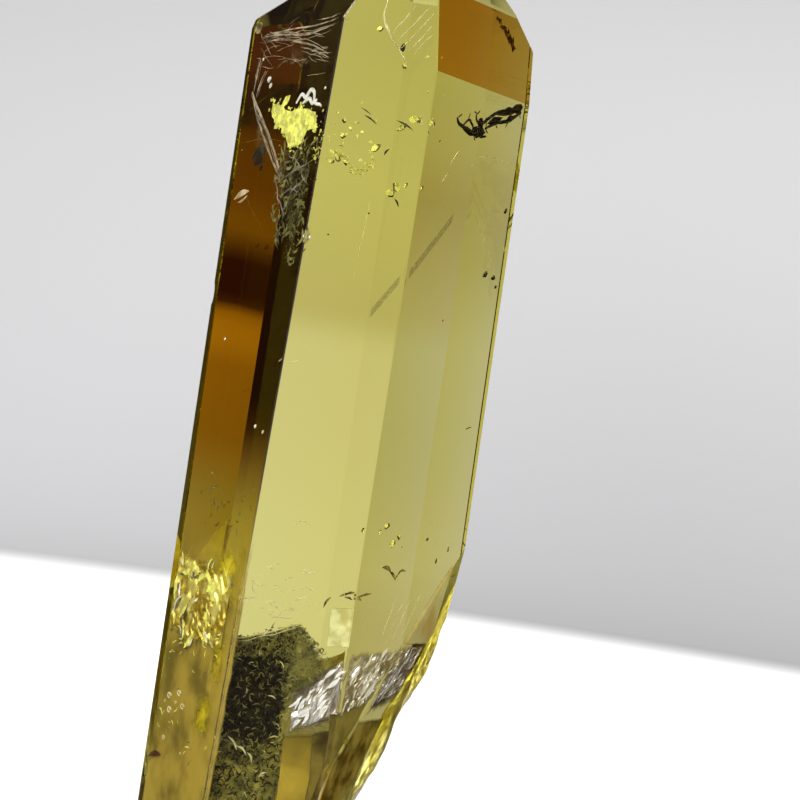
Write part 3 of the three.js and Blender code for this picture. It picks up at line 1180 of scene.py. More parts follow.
# Each branch's line and radius.
DENDRITE_LINES = [
    ([(0.31, 102.6), (0.37, 101.5), (0.5, 101.0), (0.63, 101.4)], 0.32),
    ([(0.5, 103.9), (0.53, 102.6), (0.58, 103.1), (0.72, 105.2), (0.96, 106.9)], 0.28),
    ([(0.61, 102.4), (0.71, 103.6), (0.84, 104.5), (0.96, 106.2)], 0.3),
    ([(0.37, 101.5), (0.42, 102.7), (0.48, 102.4), (0.5, 101.0)], 0.22),
    ([(0.55, 102.7), (0.52, 101.6), (0.55, 100.9)], 0.3),
]
# Each lobe's place, length, width and turn.
DENDRITE_LOBES = [
    (0.82, 105.7, 7.0, 1.1, 16), (0.70, 103.9, 4.6, 1.0, 22), (0.54, 101.6, 4.2, 1.6, 6), (0.92, 106.6, 3.4, 1.3, 18),
    (0.44, 101.3, 3.4, 1.1, -14), (0.55, 102.9, 1.6, 1.3, 60), (0.86, 104.9, 4.0, 0.8, 24),
]


class CITRINE_OT_cracks(bpy.types.Operator):
    """Build the fine cracks and growth lines, and a faint dark film that paints a shadow line"""

    bl_idname = "citrine.cracks"
    bl_label = "Cracks and veils"

    def execute(self, context):
        pale = mineral_material("Pale crack", (0.75, 0.7, 0.38), (0.98, 0.94, 0.6), 0.3)
        veil = veil_material(
            "Painted shadow veil", (0.1, 0.08, 0.02), (0.24, 0.2, 0.08), 300.0, -0.2, 0.5, 0.5, soft=1.0, most=0.24
        )
        solids = Solids()
        for face, wander, lines in (("front", 0.35, CRACK_LINES), ("front_right", 0.25, RIGHT_LINES)):
            for pairs, depth, radius in lines:
                solids.thread(trail(spots(face, depth, pairs), 5, wander, radius * 20), radius)
        rng = random.Random(61)
        for i in range(34):
            across, height, depth = rng.uniform(0.02, 0.62), rng.uniform(31.5, 39), rng.uniform(2, 4)
            frame_ = place("front", across, height, depth, rng.gauss(-6, 22))
            line = bowed(frame_, rng.uniform(0.3, 1.2), rng.uniform(-0.3, 0.2))
            solids.thread(trail(line, 4, 0.2, i), rng.uniform(0.03, 0.08))
        for ends in LOW_STREAKS:
            solids.thread(trail([at_mm(*end) for end in ends], 6, 0.3, ends[0][0]), 0.09)
        solids.piece("pale_cracks", BRIGHT, pale)
        # A faint dark film along a diagonal line: a painted shadow.
        solids = Solids()
        half = at_mm(0, 0, SHADOW_HALF)
        for face, first, last in SHADOW_LINES:
            a, b = at_mm(*first), at_mm(*last)
            solids.foil([a - half, b - half, b + half, a + half], FACES[face].normal, hackles(0, 0.1, 3.0, 4.0, 2.0))
        solids.piece("shadow_veil", DARK, veil)
        return {"FINISHED"}


# Each crack's line, depth and radius, in the front face and in the one to its right.
CRACK_LINES = [
    ([(0.34, 117.2), (0.37, 114.6), (0.42, 113.2), (0.5, 111.9), (0.58, 110.2), (0.7, 108.1)], 3.0, 0.13),
    ([(0.42, 113.2), (0.47, 112.9), (0.5, 111.9)], 3.0, 0.1),
    ([(0.57, 110.6), (0.74, 113.2), (0.93, 116.2)], 2.0, 0.07),
    ([(0.52, 111.7), (0.62, 113.6), (0.74, 116.2)], 2.0, 0.07),
    ([(0.63, 109.9), (0.8, 112.5), (0.97, 115.2)], 2.0, 0.08),
    ([(0.70, 109.5), (0.85, 111.8), (0.97, 113.8)], 2.0, 0.06),
    ([(0.76, 109.2), (0.86, 110.9), (0.96, 112.4)], 2.0, 0.06),
    ([(0.55, 89.6), (0.54, 84.0), (0.52, 79.0)], 6.0, 0.04),
    ([(0.05, 66.0), (0.14, 66.8)], 4.0, 0.05),
    ([(0.24, 29.2), (0.3, 30.4), (0.36, 29.9)], 3.0, 0.12),
    ([(0.34, 32.0), (0.4, 33.2), (0.47, 33.4)], 3.0, 0.1),
    ([(0.5, 36.2), (0.56, 36.6), (0.62, 36.2)], 3.0, 0.06),
    ([(0.36, 44.6), (0.42, 45.4), (0.5, 45.0)], 3.0, 0.06),
]
RIGHT_LINES = [
    ([(0.41, 98.4), (0.37, 97.0), (0.34, 96.0)], 3.3, 0.13),
    ([(0.34, 95.2), (0.31, 94.2), (0.28, 93.4)], 3.3, 0.12),
    ([(0.56, 98.2), (0.75, 98.9), (0.93, 98.6)], 2.0, 0.035),
    ([(0.62, 91.0), (0.74, 88.0), (0.88, 84.6)], 2.0, 0.04),
    ([(0.1, 101.6), (0.12, 100.2)], 3.0, 0.1),
    ([(0.02, 37.6), (0.05, 36.4), (0.1, 36.0)], 2.4, 0.08),
]
# Whole points in millimetres, as are the ends of the shadow in each face.
LOW_STREAKS = [
    [(9.8, -7.0, 29.7), (10.6, -5.8, 32.6), (11.3, -4.5, 35.3)],
    [(10.7, -5.5, 30.4), (11.6, -4.2, 33.0), (12.4, -2.7, 36.0)],
    [(11.8, -3.6, 30.4), (12.8, -2.0, 33.4), (13.7, -0.4, 36.7)],
    [(9.2, -8.0, 31.0), (9.9, -6.8, 34.0), (10.3, -6.0, 36.6)],
]
SHADOW_HALF = 0.85  # half the shadow's height in millimetres
SHADOW_LINES = [
    ("front_right", (10.9, -6.8, 89.6), (6.0, -16.4, 79.7)),
    ("front", (5.9, -16.2, 79.5), (2.4, -16.2, 74.0)),
]


class CITRINE_OT_lower_left(bpy.types.Operator):
    """Build the crinkled golden cluster, bubbles and cloudy amber behind the lower left face"""

    bl_idname = "citrine.lower_left"
    bl_label = "Lower left inclusions"

    def execute(self, context):
        look = context.scene.citrine_inclusions
        cloud = veil_material(
            "Amber cloud", *tones(look.amber, 0.36, 0.95), 240.0, 0.0, 0.2, 0.6, soft=0.07, most=0.94, top=AMBER_FADE
        )
        bright = veil_material("Bright amber", (0.36, 0.26, 0.01), (0.8, 0.66, 0.03), 420.0, 0.0, 0.5, 0.35, soft=1.0)
        gold = veil_material("Golden foil", (0.5, 0.36, 0.04), (1.0, 0.92, 0.3), 500.0, 0.06, 0.3, 0.2, 0.7, 0.5)
        rust = mineral_material("Rust chip", (0.03, 0.004, 0.001), (0.12, 0.02, 0.006), 0.4)
        films("amber_cloud_left", BRIGHT, cloud, [(spots("front_left", 1.3, AMBER_RIM), 2, 6)], 0.2, 8, 0.3)
        outlines = [(spots("front_left", depth, rim), depth, depth) for depth, rim in AMBER_PATCHES]
        films("amber_patches", BRIGHT, bright, outlines, 0.5, 6, 0.3)
        solids = Solids()
        for (left, low), (right, high), depth, lean, seed in GOLD_FOILS:
            corners = spots("front_left", depth, [(left, low), (right, low), (right, high), (left, high)])
            solids.foil(corners, FACES["front_left"].normal, hackles(lean, 0.3, seed, 3.4, 1.5))
        solids.piece("golden_foil", BRIGHT, gold)
        self.glints(bpy.data.materials["White glint"])
        self.bubbles(bpy.data.materials["Pale crack"])
        solids = Solids()
        solids.sheet(leaf_rim(place("front_left", 0.12, 9.2, 0.9, 12), 4.4, 0.8, 0.35), thick=0.2)
        solids.piece("rust_chip", DARK, rust)
        return {"FINISHED"}

    def glints(self, white):
        """Folded slivers over the golden cluster, white and yellow and glowing a little as painted highlights, with a
        dark sliver beside each as painted shade in the gaps between them.
        """
        rng = random.Random(23)
        bright, pale, dark = Solids(), Solids(), Solids()
        for across, height in LEFT_GLINTS:
            turn = rng.choice((rng.gauss(48, 16), rng.gauss(-38, 18), rng.gauss(-62, 12)))
            # Each bright sliver gets a dark one a little lower and deeper: painted shade beside it.
            for target, shift in ((bright, 0.0), (dark, 0.42), (pale, 0.2)):
                if target is pale and rng.random() < 0.5:
                    continue
                frame_ = place(
                    "front_left",
                    across + rng.uniform(-0.03, 0.03),
                    height + rng.uniform(-0.4, 0.4) - shift,
                    0.75 + shift * 0.5,
                    turn + rng.uniform(-8, 8),
                    rng.uniform(-20, 20),
                )
                long = rng.uniform(1.6, 3.8) * (0.6 if target is pale else 1.0)
                rim = leaf_rim(frame_, long, long * rng.uniform(0.16, 0.3), long * rng.uniform(-0.3, 0.3), 6)
                target.sheet(crumpled(rim, 2, 0.3, across * 50), thick=0.12, rings=2, bow=0.12, seed=height)
        for across, height, turn, long, wide, count in LEFT_CHIPS:
            frame_ = place("front_left", across, height, 0.7, turn)
            bright.sheet(chip_rim(frame_, long, wide, rng, count, 0.5), thick=0.14)
        dark.sheet(leaf_rim(place("front_left", 0.12, 30.6, 0.9, 52), 3.2, 0.8, 0.2), thick=0.14)
        pale.thread(trail([place("front_left", 0.12, 30.6, 0.7, 52) @ at_mm(*p) for p in LEAF_EDGE], 4, 0.1, 1), 0.14)
        for (left, right), middle, spread, count, longest, slim, targets in LEFT_FLECKS:
            for i in range(count):
                across, height, depth = rng.uniform(left, right), rng.gauss(middle, spread), rng.uniform(0.5, 1.1)
                frame_ = place("front_left", across, height, depth, rng.gauss(10, 32))
                long = rng.uniform(0.4, longest)
                rim = leaf_rim(frame_, long, long * slim, long * rng.uniform(-0.25, 0.25), 4)
                (bright, dark)[targets[i % 2]].sheet(rim, thick=0.06)
        bright.piece("left_glints", BRIGHT, bpy.data.materials["Yellow glint"])
        pale.piece("left_pale_glints", BRIGHT, white)
        dark.piece("left_dark_flakes", DARK, bpy.data.materials["Umber mineral"])

    def bubbles(self, finish):
        """Small rings: the lit rims of fluid bubbles."""
        solids = Solids()
        for across, height, size in LEFT_BUBBLES:
            frame_ = place("front_left", across, height, 1.0)
            turns = [math.radians(i * 38) for i in range(9)]
            ring = [frame_ @ at_mm(math.cos(turn) * size * 1.5, math.sin(turn) * size * 0.8, 0) for turn in turns]
            solids.thread(ring, size * 0.3, thin=0.5)
            solids.grain(frame_ @ Matrix.Translation((0, 0, -0.2 * MM)), (size * 0.5, size * 0.3, size * 0.3), across)
        solids.piece("left_bubbles", BRIGHT, finish)


AMBER_FADE = (BASE_LOW.z + 30 * MM, BASE_LOW.z + 46 * MM)  # the amber cloud thins out between these heights
AMBER_RIM = [
    (0.01, 0.6), (0.5, 0.6), (0.96, 0.6), (0.96, 12.0), (0.96, 24.0), (0.96, 36.0), (0.96, 46.0), (0.5, 48.0),
    (0.01, 48.0), (0.01, 36.0), (0.01, 24.0), (0.01, 12.0),
]
# Each patch's depth and rim.
AMBER_PATCHES = [
    (1.0, [(0.46, 39.6), (0.74, 42.2), (0.95, 40.0), (0.96, 30.5), (0.58, 29.7)]),
    (0.9, [(0.50, 14.6), (0.58, 20.2), (0.79, 22.6), (0.95, 19.5), (0.93, 13.0), (0.70, 11.6)]),
    (1.0, [(0.66, 30.0), (0.95, 30.0), (0.95, 19.0), (0.70, 20.5)]),
]
# Each foil's low left and high right corners, its depth, and the lean and seed of its ridges.
GOLD_FOILS = [
    ((0.03, 26.0), (0.56, 38.0), 1.1, 42, 2.0),
    ((0.34, 26.0), (0.84, 37.0), 1.0, -35, 7.0),
]
LEFT_GLINTS = [
    (0.10, 37.0), (0.3, 36.4), (0.26, 34.7), (0.44, 34.9), (0.62, 33.6), (0.08, 33.0), (0.22, 30.0),
    (0.08, 28.8), (0.24, 27.6), (0.59, 27.6), (0.46, 32.2), (0.7, 32.0), (0.7, 36.3), (0.59, 30.4),
    (0.34, 32.4), (0.36, 26.2), (0.78, 34.5), (0.42, 29.0), (0.16, 35.2), (0.5, 37.0),
]
# Each chip's place, turn, length, width and corners.
LEFT_CHIPS = [(0.57, 34.2, 20, 2.2, 1.0, 11), (0.5, 35.4, -40, 1.5, 0.6, 9)]
# Flecks: from and to across, their middle height and its spread, how many, the longest, how slim, and whether the
# even and odd ones are bright (0) or dark (1).
LEFT_FLECKS = [
    ((0.1, 0.86), 25.4, 1.8, 40, 1.6, 0.12, (0, 1)),
    ((0.1, 0.86), 17, 4.0, 24, 1.6, 0.12, (0, 1)),
    ((0.3, 0.92), 46, 2.2, 34, 1.8, 0.1, (1, 1)),
]
# Each bubble's place and size.
LEFT_BUBBLES = [
    (0.20, 18.0, 0.42), (0.34, 18.8, 0.4), (0.23, 16.1, 0.42), (0.42, 17.2, 0.4), (0.21, 12.1, 0.3), (0.31, 17.4, 0.2),
    (0.14, 17.0, 0.16), (0.5, 11.0, 0.16),
]
LEAF_EDGE = [(-1.6, 0, 0), (-0.7, 0.55, 0), (0.4, 0.65, 0), (1.6, 0, 0)]


class CITRINE_OT_moss(bpy.types.Operator):
    """Build the dark mossy cloud in the lower half and the olive moss below it"""

    bl_idname = "citrine.moss"
    bl_label = "Moss"

    def execute(self, context):
        look = context.scene.citrine_inclusions
        dark_moss = mineral_material("Dark moss", *tones(look.moss, 0.3, 2.2), 0.6, 800.0)
        olive_moss = mineral_material("Moss fibre", *tones(look.olive, 0.6, 1.8), 0.55)
        heart = veil_material("Moss ground", *tones(look.moss, 0.5, 2.8), 420.0, -0.1, 0.14, 0.7, soft=0.3)
        halo = veil_material("Moss halo", *tones(look.olive, 0.6, 1.9), 520.0, -0.1, 0.24, 0.6, soft=0.6)
        low = veil_material("Low moss ground", *tones(look.olive, 1.0, 3.8), 520.0, -0.2, 0.1, 0.6, soft=0.12)
        for name, depth, rim, finish in (
            ("moss_ground", 9.0, HEART_RIM, heart),
            ("moss_halo", 5.5, HALO_RIM, halo),
            ("moss_low", 8.2, LOW_MOSS_RIM, low),
        ):
            films(name, DARK, finish, [(spots("front", depth, rim), depth, 3)], 0.5, 9, 0.6, 5, 0.12)
        dark = self.fibres(8.0, HEART_RIM, 1.0, 5, (1.0, 0.17, 0.3), dark_moss, 420, 3)
        add_piece("moss_fibres", dark, dark_moss)
        blade = (0.85, 0.13, 0.25)
        olive = [
            self.fibres(depth, rim, 0.8, seed, blade, olive_moss, density, seed)
            for depth, rim, density, seed in OLIVE_LAYERS
        ]
        add_piece("olive_fibres", joined(*olive), olive_moss)
        specks = self.fibres(6.8, LOW_MOSS_RIM, 0.8, 9, (1.1, 0.17, 0.3), dark_moss, 110, 12)
        add_piece("moss_specks", specks, dark_moss)
        self.blades(bpy.data.materials["Pale crack"])
        self.rim(bpy.data.materials["Pale crack"])
        return {"FINISHED"}

    def fibres(self, depth, rim, bow, bed_seed, blade, finish, density, seed):
        """Small bent blades scattered over a swelling bed."""
        ground = bed(spots("front", depth, rim), bow=bow, seed=bed_seed)
        return scattered(ground, blade_mesh(*blade), finish, density, seed, 0.4, 1.3, 50)

    def blades(self, finish):
        """Pale blades that stand out of the moss."""
        rng = random.Random(41)
        solids = Solids()
        for count, left, right, low, high in ((14, 0.0, 0.5, 3, 14), (16, 0.05, 0.7, 14, 28)):
            for _ in range(count):
                across, height = rng.uniform(left, right), rng.uniform(low, high)
                long = rng.uniform(0.4, 1.3)
                frame_ = place("front", across, height, rng.uniform(5.5, 6.5), rng.gauss(-20, 45), rng.uniform(-25, 25))
                solids.sheet(leaf_rim(frame_, long, long * 0.14, long * 0.15), thick=0.08)
        for across, height, turn, long in ((0.13, 14.2, -50, 2.4), (0.22, 13.4, -35, 2.0), (0.3, 12.6, -60, 1.6)):
            solids.sheet(leaf_rim(place("front", across, height, 5.2, turn), long, 0.26, 0.3), thick=0.12)
        solids.piece("moss_blades", BRIGHT, finish)

    def rim(self, finish):
        """The pale upper rim of the mossy cloud."""
        solids = Solids()
        line = spots("front", 6.8, MOSS_EDGE)
        solids.thread(trail(line, 6, 0.2, 2), 0.13, thin=0.3)
        solids.thread(trail([point + at_mm(0.2, -0.4, -0.35) for point in line], 6, 0.4, 5), 0.07, thin=0.3)
        solids.piece("moss_rim", BRIGHT, finish)


HEART_RIM = [
    (-0.06, 28.0), (0.09, 28.5), (0.19, 29.2), (0.40, 30.4), (0.55, 31.2), (0.70, 29.5), (0.72, 27.2),
    (0.60, 24.6), (0.53, 20.9), (0.54, 15.0), (0.40, 13.0), (0.21, 12.0), (-0.06, 12.6), (-0.08, 20.0),
]
HEART_TOP_RIM = [
    (-0.04, 28.0), (0.19, 29.0), (0.40, 30.2), (0.55, 31.0), (0.70, 29.0), (0.64, 25.8), (0.4, 26.6), (-0.04, 25.4),
]
HALO_RIM = [
    (0.50, 31.1), (0.56, 31.2), (0.76, 29.1), (0.86, 27.2), (0.86, 23.1), (0.72, 20.6), (0.54, 18.0), (0.48, 24.0),
]
LOW_MOSS_RIM = [
    (-0.06, 14.4), (0.22, 13.6), (0.42, 14.6), (0.57, 16.0), (0.62, 9.5), (0.68, 0.8), (-0.06, 0.8), (-0.06, 8.0),
]
MOSS_EDGE = [(-0.02, 28.2), (0.09, 28.5), (0.19, 29.2), (0.30, 29.7), (0.40, 30.4), (0.55, 31.3), (0.62, 30.6)]
OLIVE_LAYERS = [  # each layer's depth and rim, its blades to the square centimetre, and its seed
    (7.6, HEART_RIM, 90, 7),
    (7.4, HEART_TOP_RIM, 520, 13),
    (4.8, HALO_RIM, 330, 8),
    (7.4, LOW_MOSS_RIM, 300, 11),
]


class CITRINE_OT_lower_front(bpy.types.Operator):
    """Build the amber strips, the bright panel and the hackled silvery band low on the front"""

    bl_idname = "citrine.lower_front"
    bl_label = "Lower front inclusions"

    def execute(self, context):
        look = context.scene.citrine_inclusions
        strip = veil_material("Amber strip", *tones(look.amber, 0.62, 1.05), 260.0, -0.3, 0.1, 0.6, soft=0.1)
        brown = veil_material("Brown cloud", (0.1, 0.07, 0.015), (0.3, 0.23, 0.05), 330.0, -0.2, 0.1, 0.6, soft=0.12)
        corner = veil_material("Corner cloud", (0.16, 0.1, 0.01), (0.62, 0.47, 0.1), 420.0, -0.2, 0.1, 0.6, soft=0.1)
        sliver = veil_material("Sliver cloud", (0.85, 0.66, 0.24), (1.0, 0.95, 0.5), 300.0, -0.2, 0.1, 0.6, soft=0.1)
        yellow = veil_material("Yellow cloud", (0.4, 0.32, 0.01), (0.62, 0.55, 0.03), 420.0, 0.0, 0.5, 0.5, soft=0.9)
        panel = veil_material(
            "Bright panel", (0.66, 0.6, 0.2), (1.0, 1.0, 0.5), 900.0, -0.3, 0.1, 0.4, soft=0.05, most=0.95
        )
        haze = veil_material(
            "Grey-brown haze", (0.13, 0.1, 0.045), (0.36, 0.31, 0.18), 520.0, -0.05, 0.3, 0.5, soft=0.4, most=0.9
        )
        silver = veil_material("Silvery foil", (0.4, 0.34, 0.25), (1.0, 0.97, 0.92), 500.0, 0.02, 0.34, 0.16, 0.8, 0.7)
        for name, finish, rims in (
            ("amber_strip", strip, [spots("front", 6.0, STRIP_RIM)]),
            ("brown_strip", brown, [spots("front", 5.0, BROWN_RIM), under("front_right", 1.6, BROWN_RIGHT_RIM)]),
            ("corner_cloud", corner, [under("corner", 1.7, CORNER_RIM)]),
            ("sliver_cloud", sliver, [under("corner", 1.2, SLIVER_RIM)]),
            ("yellow_cloud", yellow, [under("front_right", 1.0, YELLOW_RIM)]),
            ("band_haze", haze, [
                [at_mm(*point) for point in BAND_GROUND],
                under("front_right", 1.9, BAND_GROUND_RIGHT),
                under("corner", 1.0, BAND_GROUND_CORNER),
            ]),
            ("bright_panel", panel, [[at_mm(*point) for point in PANEL_RIM]]),
        ):
            films(name, BRIGHT, finish, [(rim, i, 4) for i, rim in enumerate(rims)], 0.12, 7, 0.25)
        foils = [
            ("front", [at_mm(*point) for point in BAND_FRONT], 57),
            ("front_right", under("front_right", 1.2, BAND_RIGHT), 50),
            ("corner", under("corner", 0.6, BAND_CORNER), 45),
        ]
        solids = Solids()
        for seed, (face, corners, lean) in enumerate(foils):
            solids.foil(corners, FACES[face].normal, hackles(lean, 0.3, seed * 3.0 + 2, 3.0, 1.2), 0.25)
        solids.piece("band_foil", BRIGHT, silver)
        self.slivers(foils, bpy.data.materials["White glint"], bpy.data.materials["Umber mineral"])
        return {"FINISHED"}

    def slivers(self, foils, white, umber):
        """White slivers along the crests of the band, glowing a little as painted highlights, with dark ones beside
        them as painted shadows.
        """
        rng = random.Random(77)
        pale, dark = Solids(), Solids()
        for face, corners, lean in foils:
            for i in range(14 if face == "corner" else 22):
                low = corners[0].lerp(corners[1], rng.random())
                high = corners[3].lerp(corners[2], rng.random())
                middle = low.lerp(high, rng.uniform(0.1, 0.92)) + FACES[face].normal * rng.uniform(0.2, 0.4) * MM
                # Each white sliver gets a dark one a little lower and deeper: a painted shadow.
                for target, shift in ((pale, 0.0), (dark, 0.4)):
                    frame_ = Matrix.Translation(middle) @ FACES[face].axes() @ turned(rng.gauss(lean, 11))
                    frame_ = frame_ @ Matrix.Translation(at_mm(0, -shift, -shift * 0.4))
                    long = rng.uniform(0.9, 2.9)
                    rim = leaf_rim(frame_, long, long * rng.uniform(0.12, 0.22), long * rng.uniform(-0.15, 0.15), 5)
                    target.sheet(crumpled(rim, 2, 0.1, i), thick=0.12)
        pale.piece("band_slivers", BRIGHT, white)
        dark.piece("band_shadows", DARK, umber)


# Places with three numbers are whole points in millimetres. Those with two are a share across the front and a height
# for the front, and from front to back and up for the other faces.
STRIP_RIM = [(0.56, 16.2), (0.83, 17.1), (0.88, 11.0), (0.96, 0.8), (0.66, 0.8), (0.62, 9.0)]
BROWN_RIM = [(0.82, 17.4), (0.99, 18.4), (1.0, 10.0), (1.0, 0.8), (0.95, 0.8), (0.88, 11.0)]
BROWN_RIGHT_RIM = [(-16.2, 12.6), (-16.2, 20.6), (-13.0, 20.8), (-9.0, 22.4), (-11.6, 18.4)]
CORNER_RIM = [(-10.6, 19.6), (-0.8, 19.4), (-3.4, 13.5), (-6.8, 6.4), (-9.4, 1.2), (-15.8, 1.2), (-15.4, 12.6)]
SLIVER_RIM = [(-4.0, 29.6), (1.0, 29.6), (5.8, 29.4), (7.0, 31.0), (6.6, 36.0), (6.0, 41.4), (3.2, 38.6), (0.0, 34.6)]
YELLOW_RIM = [(-15.2, 16.8), (-13.2, 18.0), (-12.2, 16.6), (-13.6, 15.2)]
BAND_GROUND = [(-0.8, -15.7, 16.2), (5.5, -15.7, 18.6), (5.6, -15.7, 29.0), (-1.0, -15.7, 22.4)]
BAND_GROUND_RIGHT = [(-14.9, 19.0), (-8.8, 21.2), (-2.6, 29.4), (-15.0, 29.0)]
BAND_GROUND_CORNER = [(-10.2, 19.6), (0.4, 21.0), (5.0, 30.2), (-4.8, 30.0)]
PANEL_RIM = [(2.9, -17.0, 34.5), (5.7, -17.0, 34.8), (5.8, -17.0, 29.5), (3.1, -17.0, 29.2)]
BAND_FRONT = [(-0.3, -16.5, 17.0), (5.7, -16.5, 19.8), (5.7, -16.5, 28.4), (-0.6, -16.5, 21.4)]
BAND_RIGHT = [(-15.8, 19.8), (-9.6, 21.6), (-3.4, 29.4), (-15.9, 28.4)]
BAND_CORNER = [(-9.6, 21.0), (0.0, 21.8), (4.6, 29.8), (-4.4, 29.6)]


# ---------------------------------------------------------------- the studio


# A sector of the room's wall: from and to in degrees round from straight behind the crystal towards its right, and
# its light at heights in degrees above level. Later sectors hang in front of earlier ones.
Sector = namedtuple("Sector", "name left right stops")


def times(stops, share):
    """The same stops, dimmed."""
    return [(rise, tuple(part * share for part in light)) for rise, light in stops]


def raised(stops, by):
    """The same stops, some degrees higher."""
    return [(rise + by, light) for rise, light in stops]


BEHIND = [
    (-20, (0.85, 0.85, 0.90)), (-3.5, (0.88, 0.88, 0.95)), (-1, (0.84, 0.83, 0.88)), (1.3, (0.82, 0.81, 0.85)),
    (2, (0.67, 0.63, 0.53)), (5, (0.72, 0.70, 0.50)), (8, (0.65, 0.63, 0.46)), (28, (0.60, 0.60, 0.50)),
]
BEHIND_LEFT = [
    (-20, (0.55, 0.52, 0.48)), (-4.3, (0.553, 0.52, 0.49)), (-3.3, (0.61, 0.60, 0.53)), (0, (0.61, 0.60, 0.57)),
    (1.8, (0.625, 0.62, 0.63)), (2.6, (0.58, 0.54, 0.48)), (4, (0.524, 0.468, 0.375)), (5.2, (0.47, 0.41, 0.28)),
    (6.4, (0.54, 0.495, 0.33)), (8, (0.56, 0.54, 0.36)),
]
FAR_LEFT = [
    (-20, (0.50, 0.47, 0.33)), (-4.5, (0.50, 0.47, 0.35)), (-3.5, (0.57, 0.55, 0.38)), (2, (0.579, 0.556, 0.398)),
    (4, (0.484, 0.449, 0.259)), (5.5, (0.46, 0.41, 0.24)), (7, (0.52, 0.49, 0.32)),
]
DARK_LEFT = [
    (-20, (0.01, 0.008, 0.004)), (6, (0.01, 0.008, 0.004)), (8.3, (0.03, 0.03, 0.03)), (14, (0.03, 0.03, 0.03)),
]
DARK_SIDE = [(-20, (0.1, 0.08, 0.04)), (-4, (0.1, 0.08, 0.04)), (0, (0.05, 0.03, 0.01)), (20, (0.05, 0.03, 0.01))]
SHADED_RIGHT = [
    (-20, (0.02, 0.01, 0.002)), (-10, (0.02, 0.01, 0.002)), (-8.5, (0.56, 0.46, 0.08)), (-6, (0.553, 0.47, 0.09)),
    (-4.8, (0.489, 0.375, 0.13)), (-4.2, (0.385, 0.294, 0.093)), (-3.7, (0.29, 0.20, 0.07)),
    (-3.2, (0.206, 0.118, 0.04)), (-2.75, (0.122, 0.06, 0.02)), (-2.3, (0.042, 0.016, 0.0)),
    (-1.6, (0.015, 0.004, 0.002)), (28, (0.015, 0.004, 0.002)),
]
AMBER_SIDE = [
    (-20, (0.56, 0.46, 0.12)), (-6, (0.53, 0.43, 0.14)), (-4.8, (0.38, 0.266, 0.072)), (-4.2, (0.35, 0.243, 0.063)),
    (-3.7, (0.315, 0.211, 0.05)), (-3.1, (0.305, 0.16, 0.024)), (-2.5, (0.28, 0.12, 0.006)),
    (-0.9, (0.31, 0.12, 0.004)), (-0.3, (0.44, 0.18, 0.004)), (0.2, (0.40, 0.15, 0.003)), (0.5, (0.028, 0.004, 0.0)),
    (1.5, (0.03, 0.005, 0.0)), (2.2, (0.21, 0.08, 0.002)), (3.0, (0.15, 0.05, 0.002)), (4.2, (0.12, 0.04, 0.001)),
    (4.6, (0.037, 0.013, 0.0)), (28, (0.03, 0.01, 0.0)),
]
FURTHER_ROUND = [(-11, (0.02, 0.01, 0.002)), (-9.5, (0.5, 0.4, 0.1)), *raised(AMBER_SIDE, 0.4)[1:]]
SECTORS = [
    Sector("dark wall at the left", -80, -50, DARK_LEFT),
    Sector("far left wall", -52.8, -44, FAR_LEFT),
    Sector("left wall behind", -47, -18, BEHIND_LEFT),
    Sector("amber side, further round", 93, 160, FURTHER_ROUND),
    Sector("dark side", 107, 121, DARK_SIDE),
    Sector("amber side", 58, 95, AMBER_SIDE),
    Sector("shaded wall at the right", 14, 62, SHADED_RIGHT),
    Sector("wall behind", -22, 17, BEHIND),
    Sector("wall behind, left part", -22, 1, times(BEHIND, 0.93)),
]
SECTOR_SOFT = 0.4  # how soft a sector's sides are, in degrees
LOW_RISE, HIGH_RISE = -30, 30  # between these degrees above level the sectors' light changes

# A lamp card: from and to round as for a sector, from and to in degrees above level, how soft its edges are, its
# colour and its strength.
Card = namedtuple("Card", "name left right low high soft colour strength")
CARDS = [
    Card("dark ceiling at the left", -80, -15, 15, 60, 1.0, (1.0, 1.0, 1.0), 0.03),
    Card("dim room in front", 160, 200, -14, 12, 2.0, (1.0, 1.0, 1.0), 0.1),
    Card("soft box over the front", 140, 215, 22, 62, 3.0, (1.0, 1.0, 1.0), 5.0),
    Card("soft box at the front left", 216, 264, 16, 58, 3.0, (1.0, 1.0, 1.0), 8.0),
    Card("soft box at the front right", 105, 135, 22, 58, 3.0, (1.0, 1.0, 1.0), 6.0),
    Card("small lamp", 195, 207, 35, 47, 1.0, (1.0, 0.98, 0.95), 25.0),
    Card("soft box overhead", -95, 275, 62, 91, 3.0, (1.0, 1.0, 1.0), 2.2),
]


class CitrineStudioSettings(bpy.types.PropertyGroup):
    """The pale room round the crystal."""

    room_light: FloatProperty(name="Room light", description="Strength of the plain pale room", default=0.75, min=0)
    backdrop_colour: colour_setting("Backdrop", "Colour of the backdrop", (0.73, 0.73, 0.74))
    floor_colour: colour_setting("Floor", "Colour of the paper under the crystal", (0.72, 0.72, 0.715))
    # The wall colours are painted shade: grey up the wall, deeper low at the right than low at the left.
    wall_shade_high: colour_setting("Wall, high", "Colour of the paper high up the wall", (0.288, 0.288, 0.29))
    wall_shade_low_left: colour_setting("Wall, low left", "Colour of the paper low at the left", (0.245, 0.245, 0.251))
    wall_shade_low_right: colour_setting("Wall, low right", "Colour of the paper low at the right", (0.205, 0.205, 0.209))


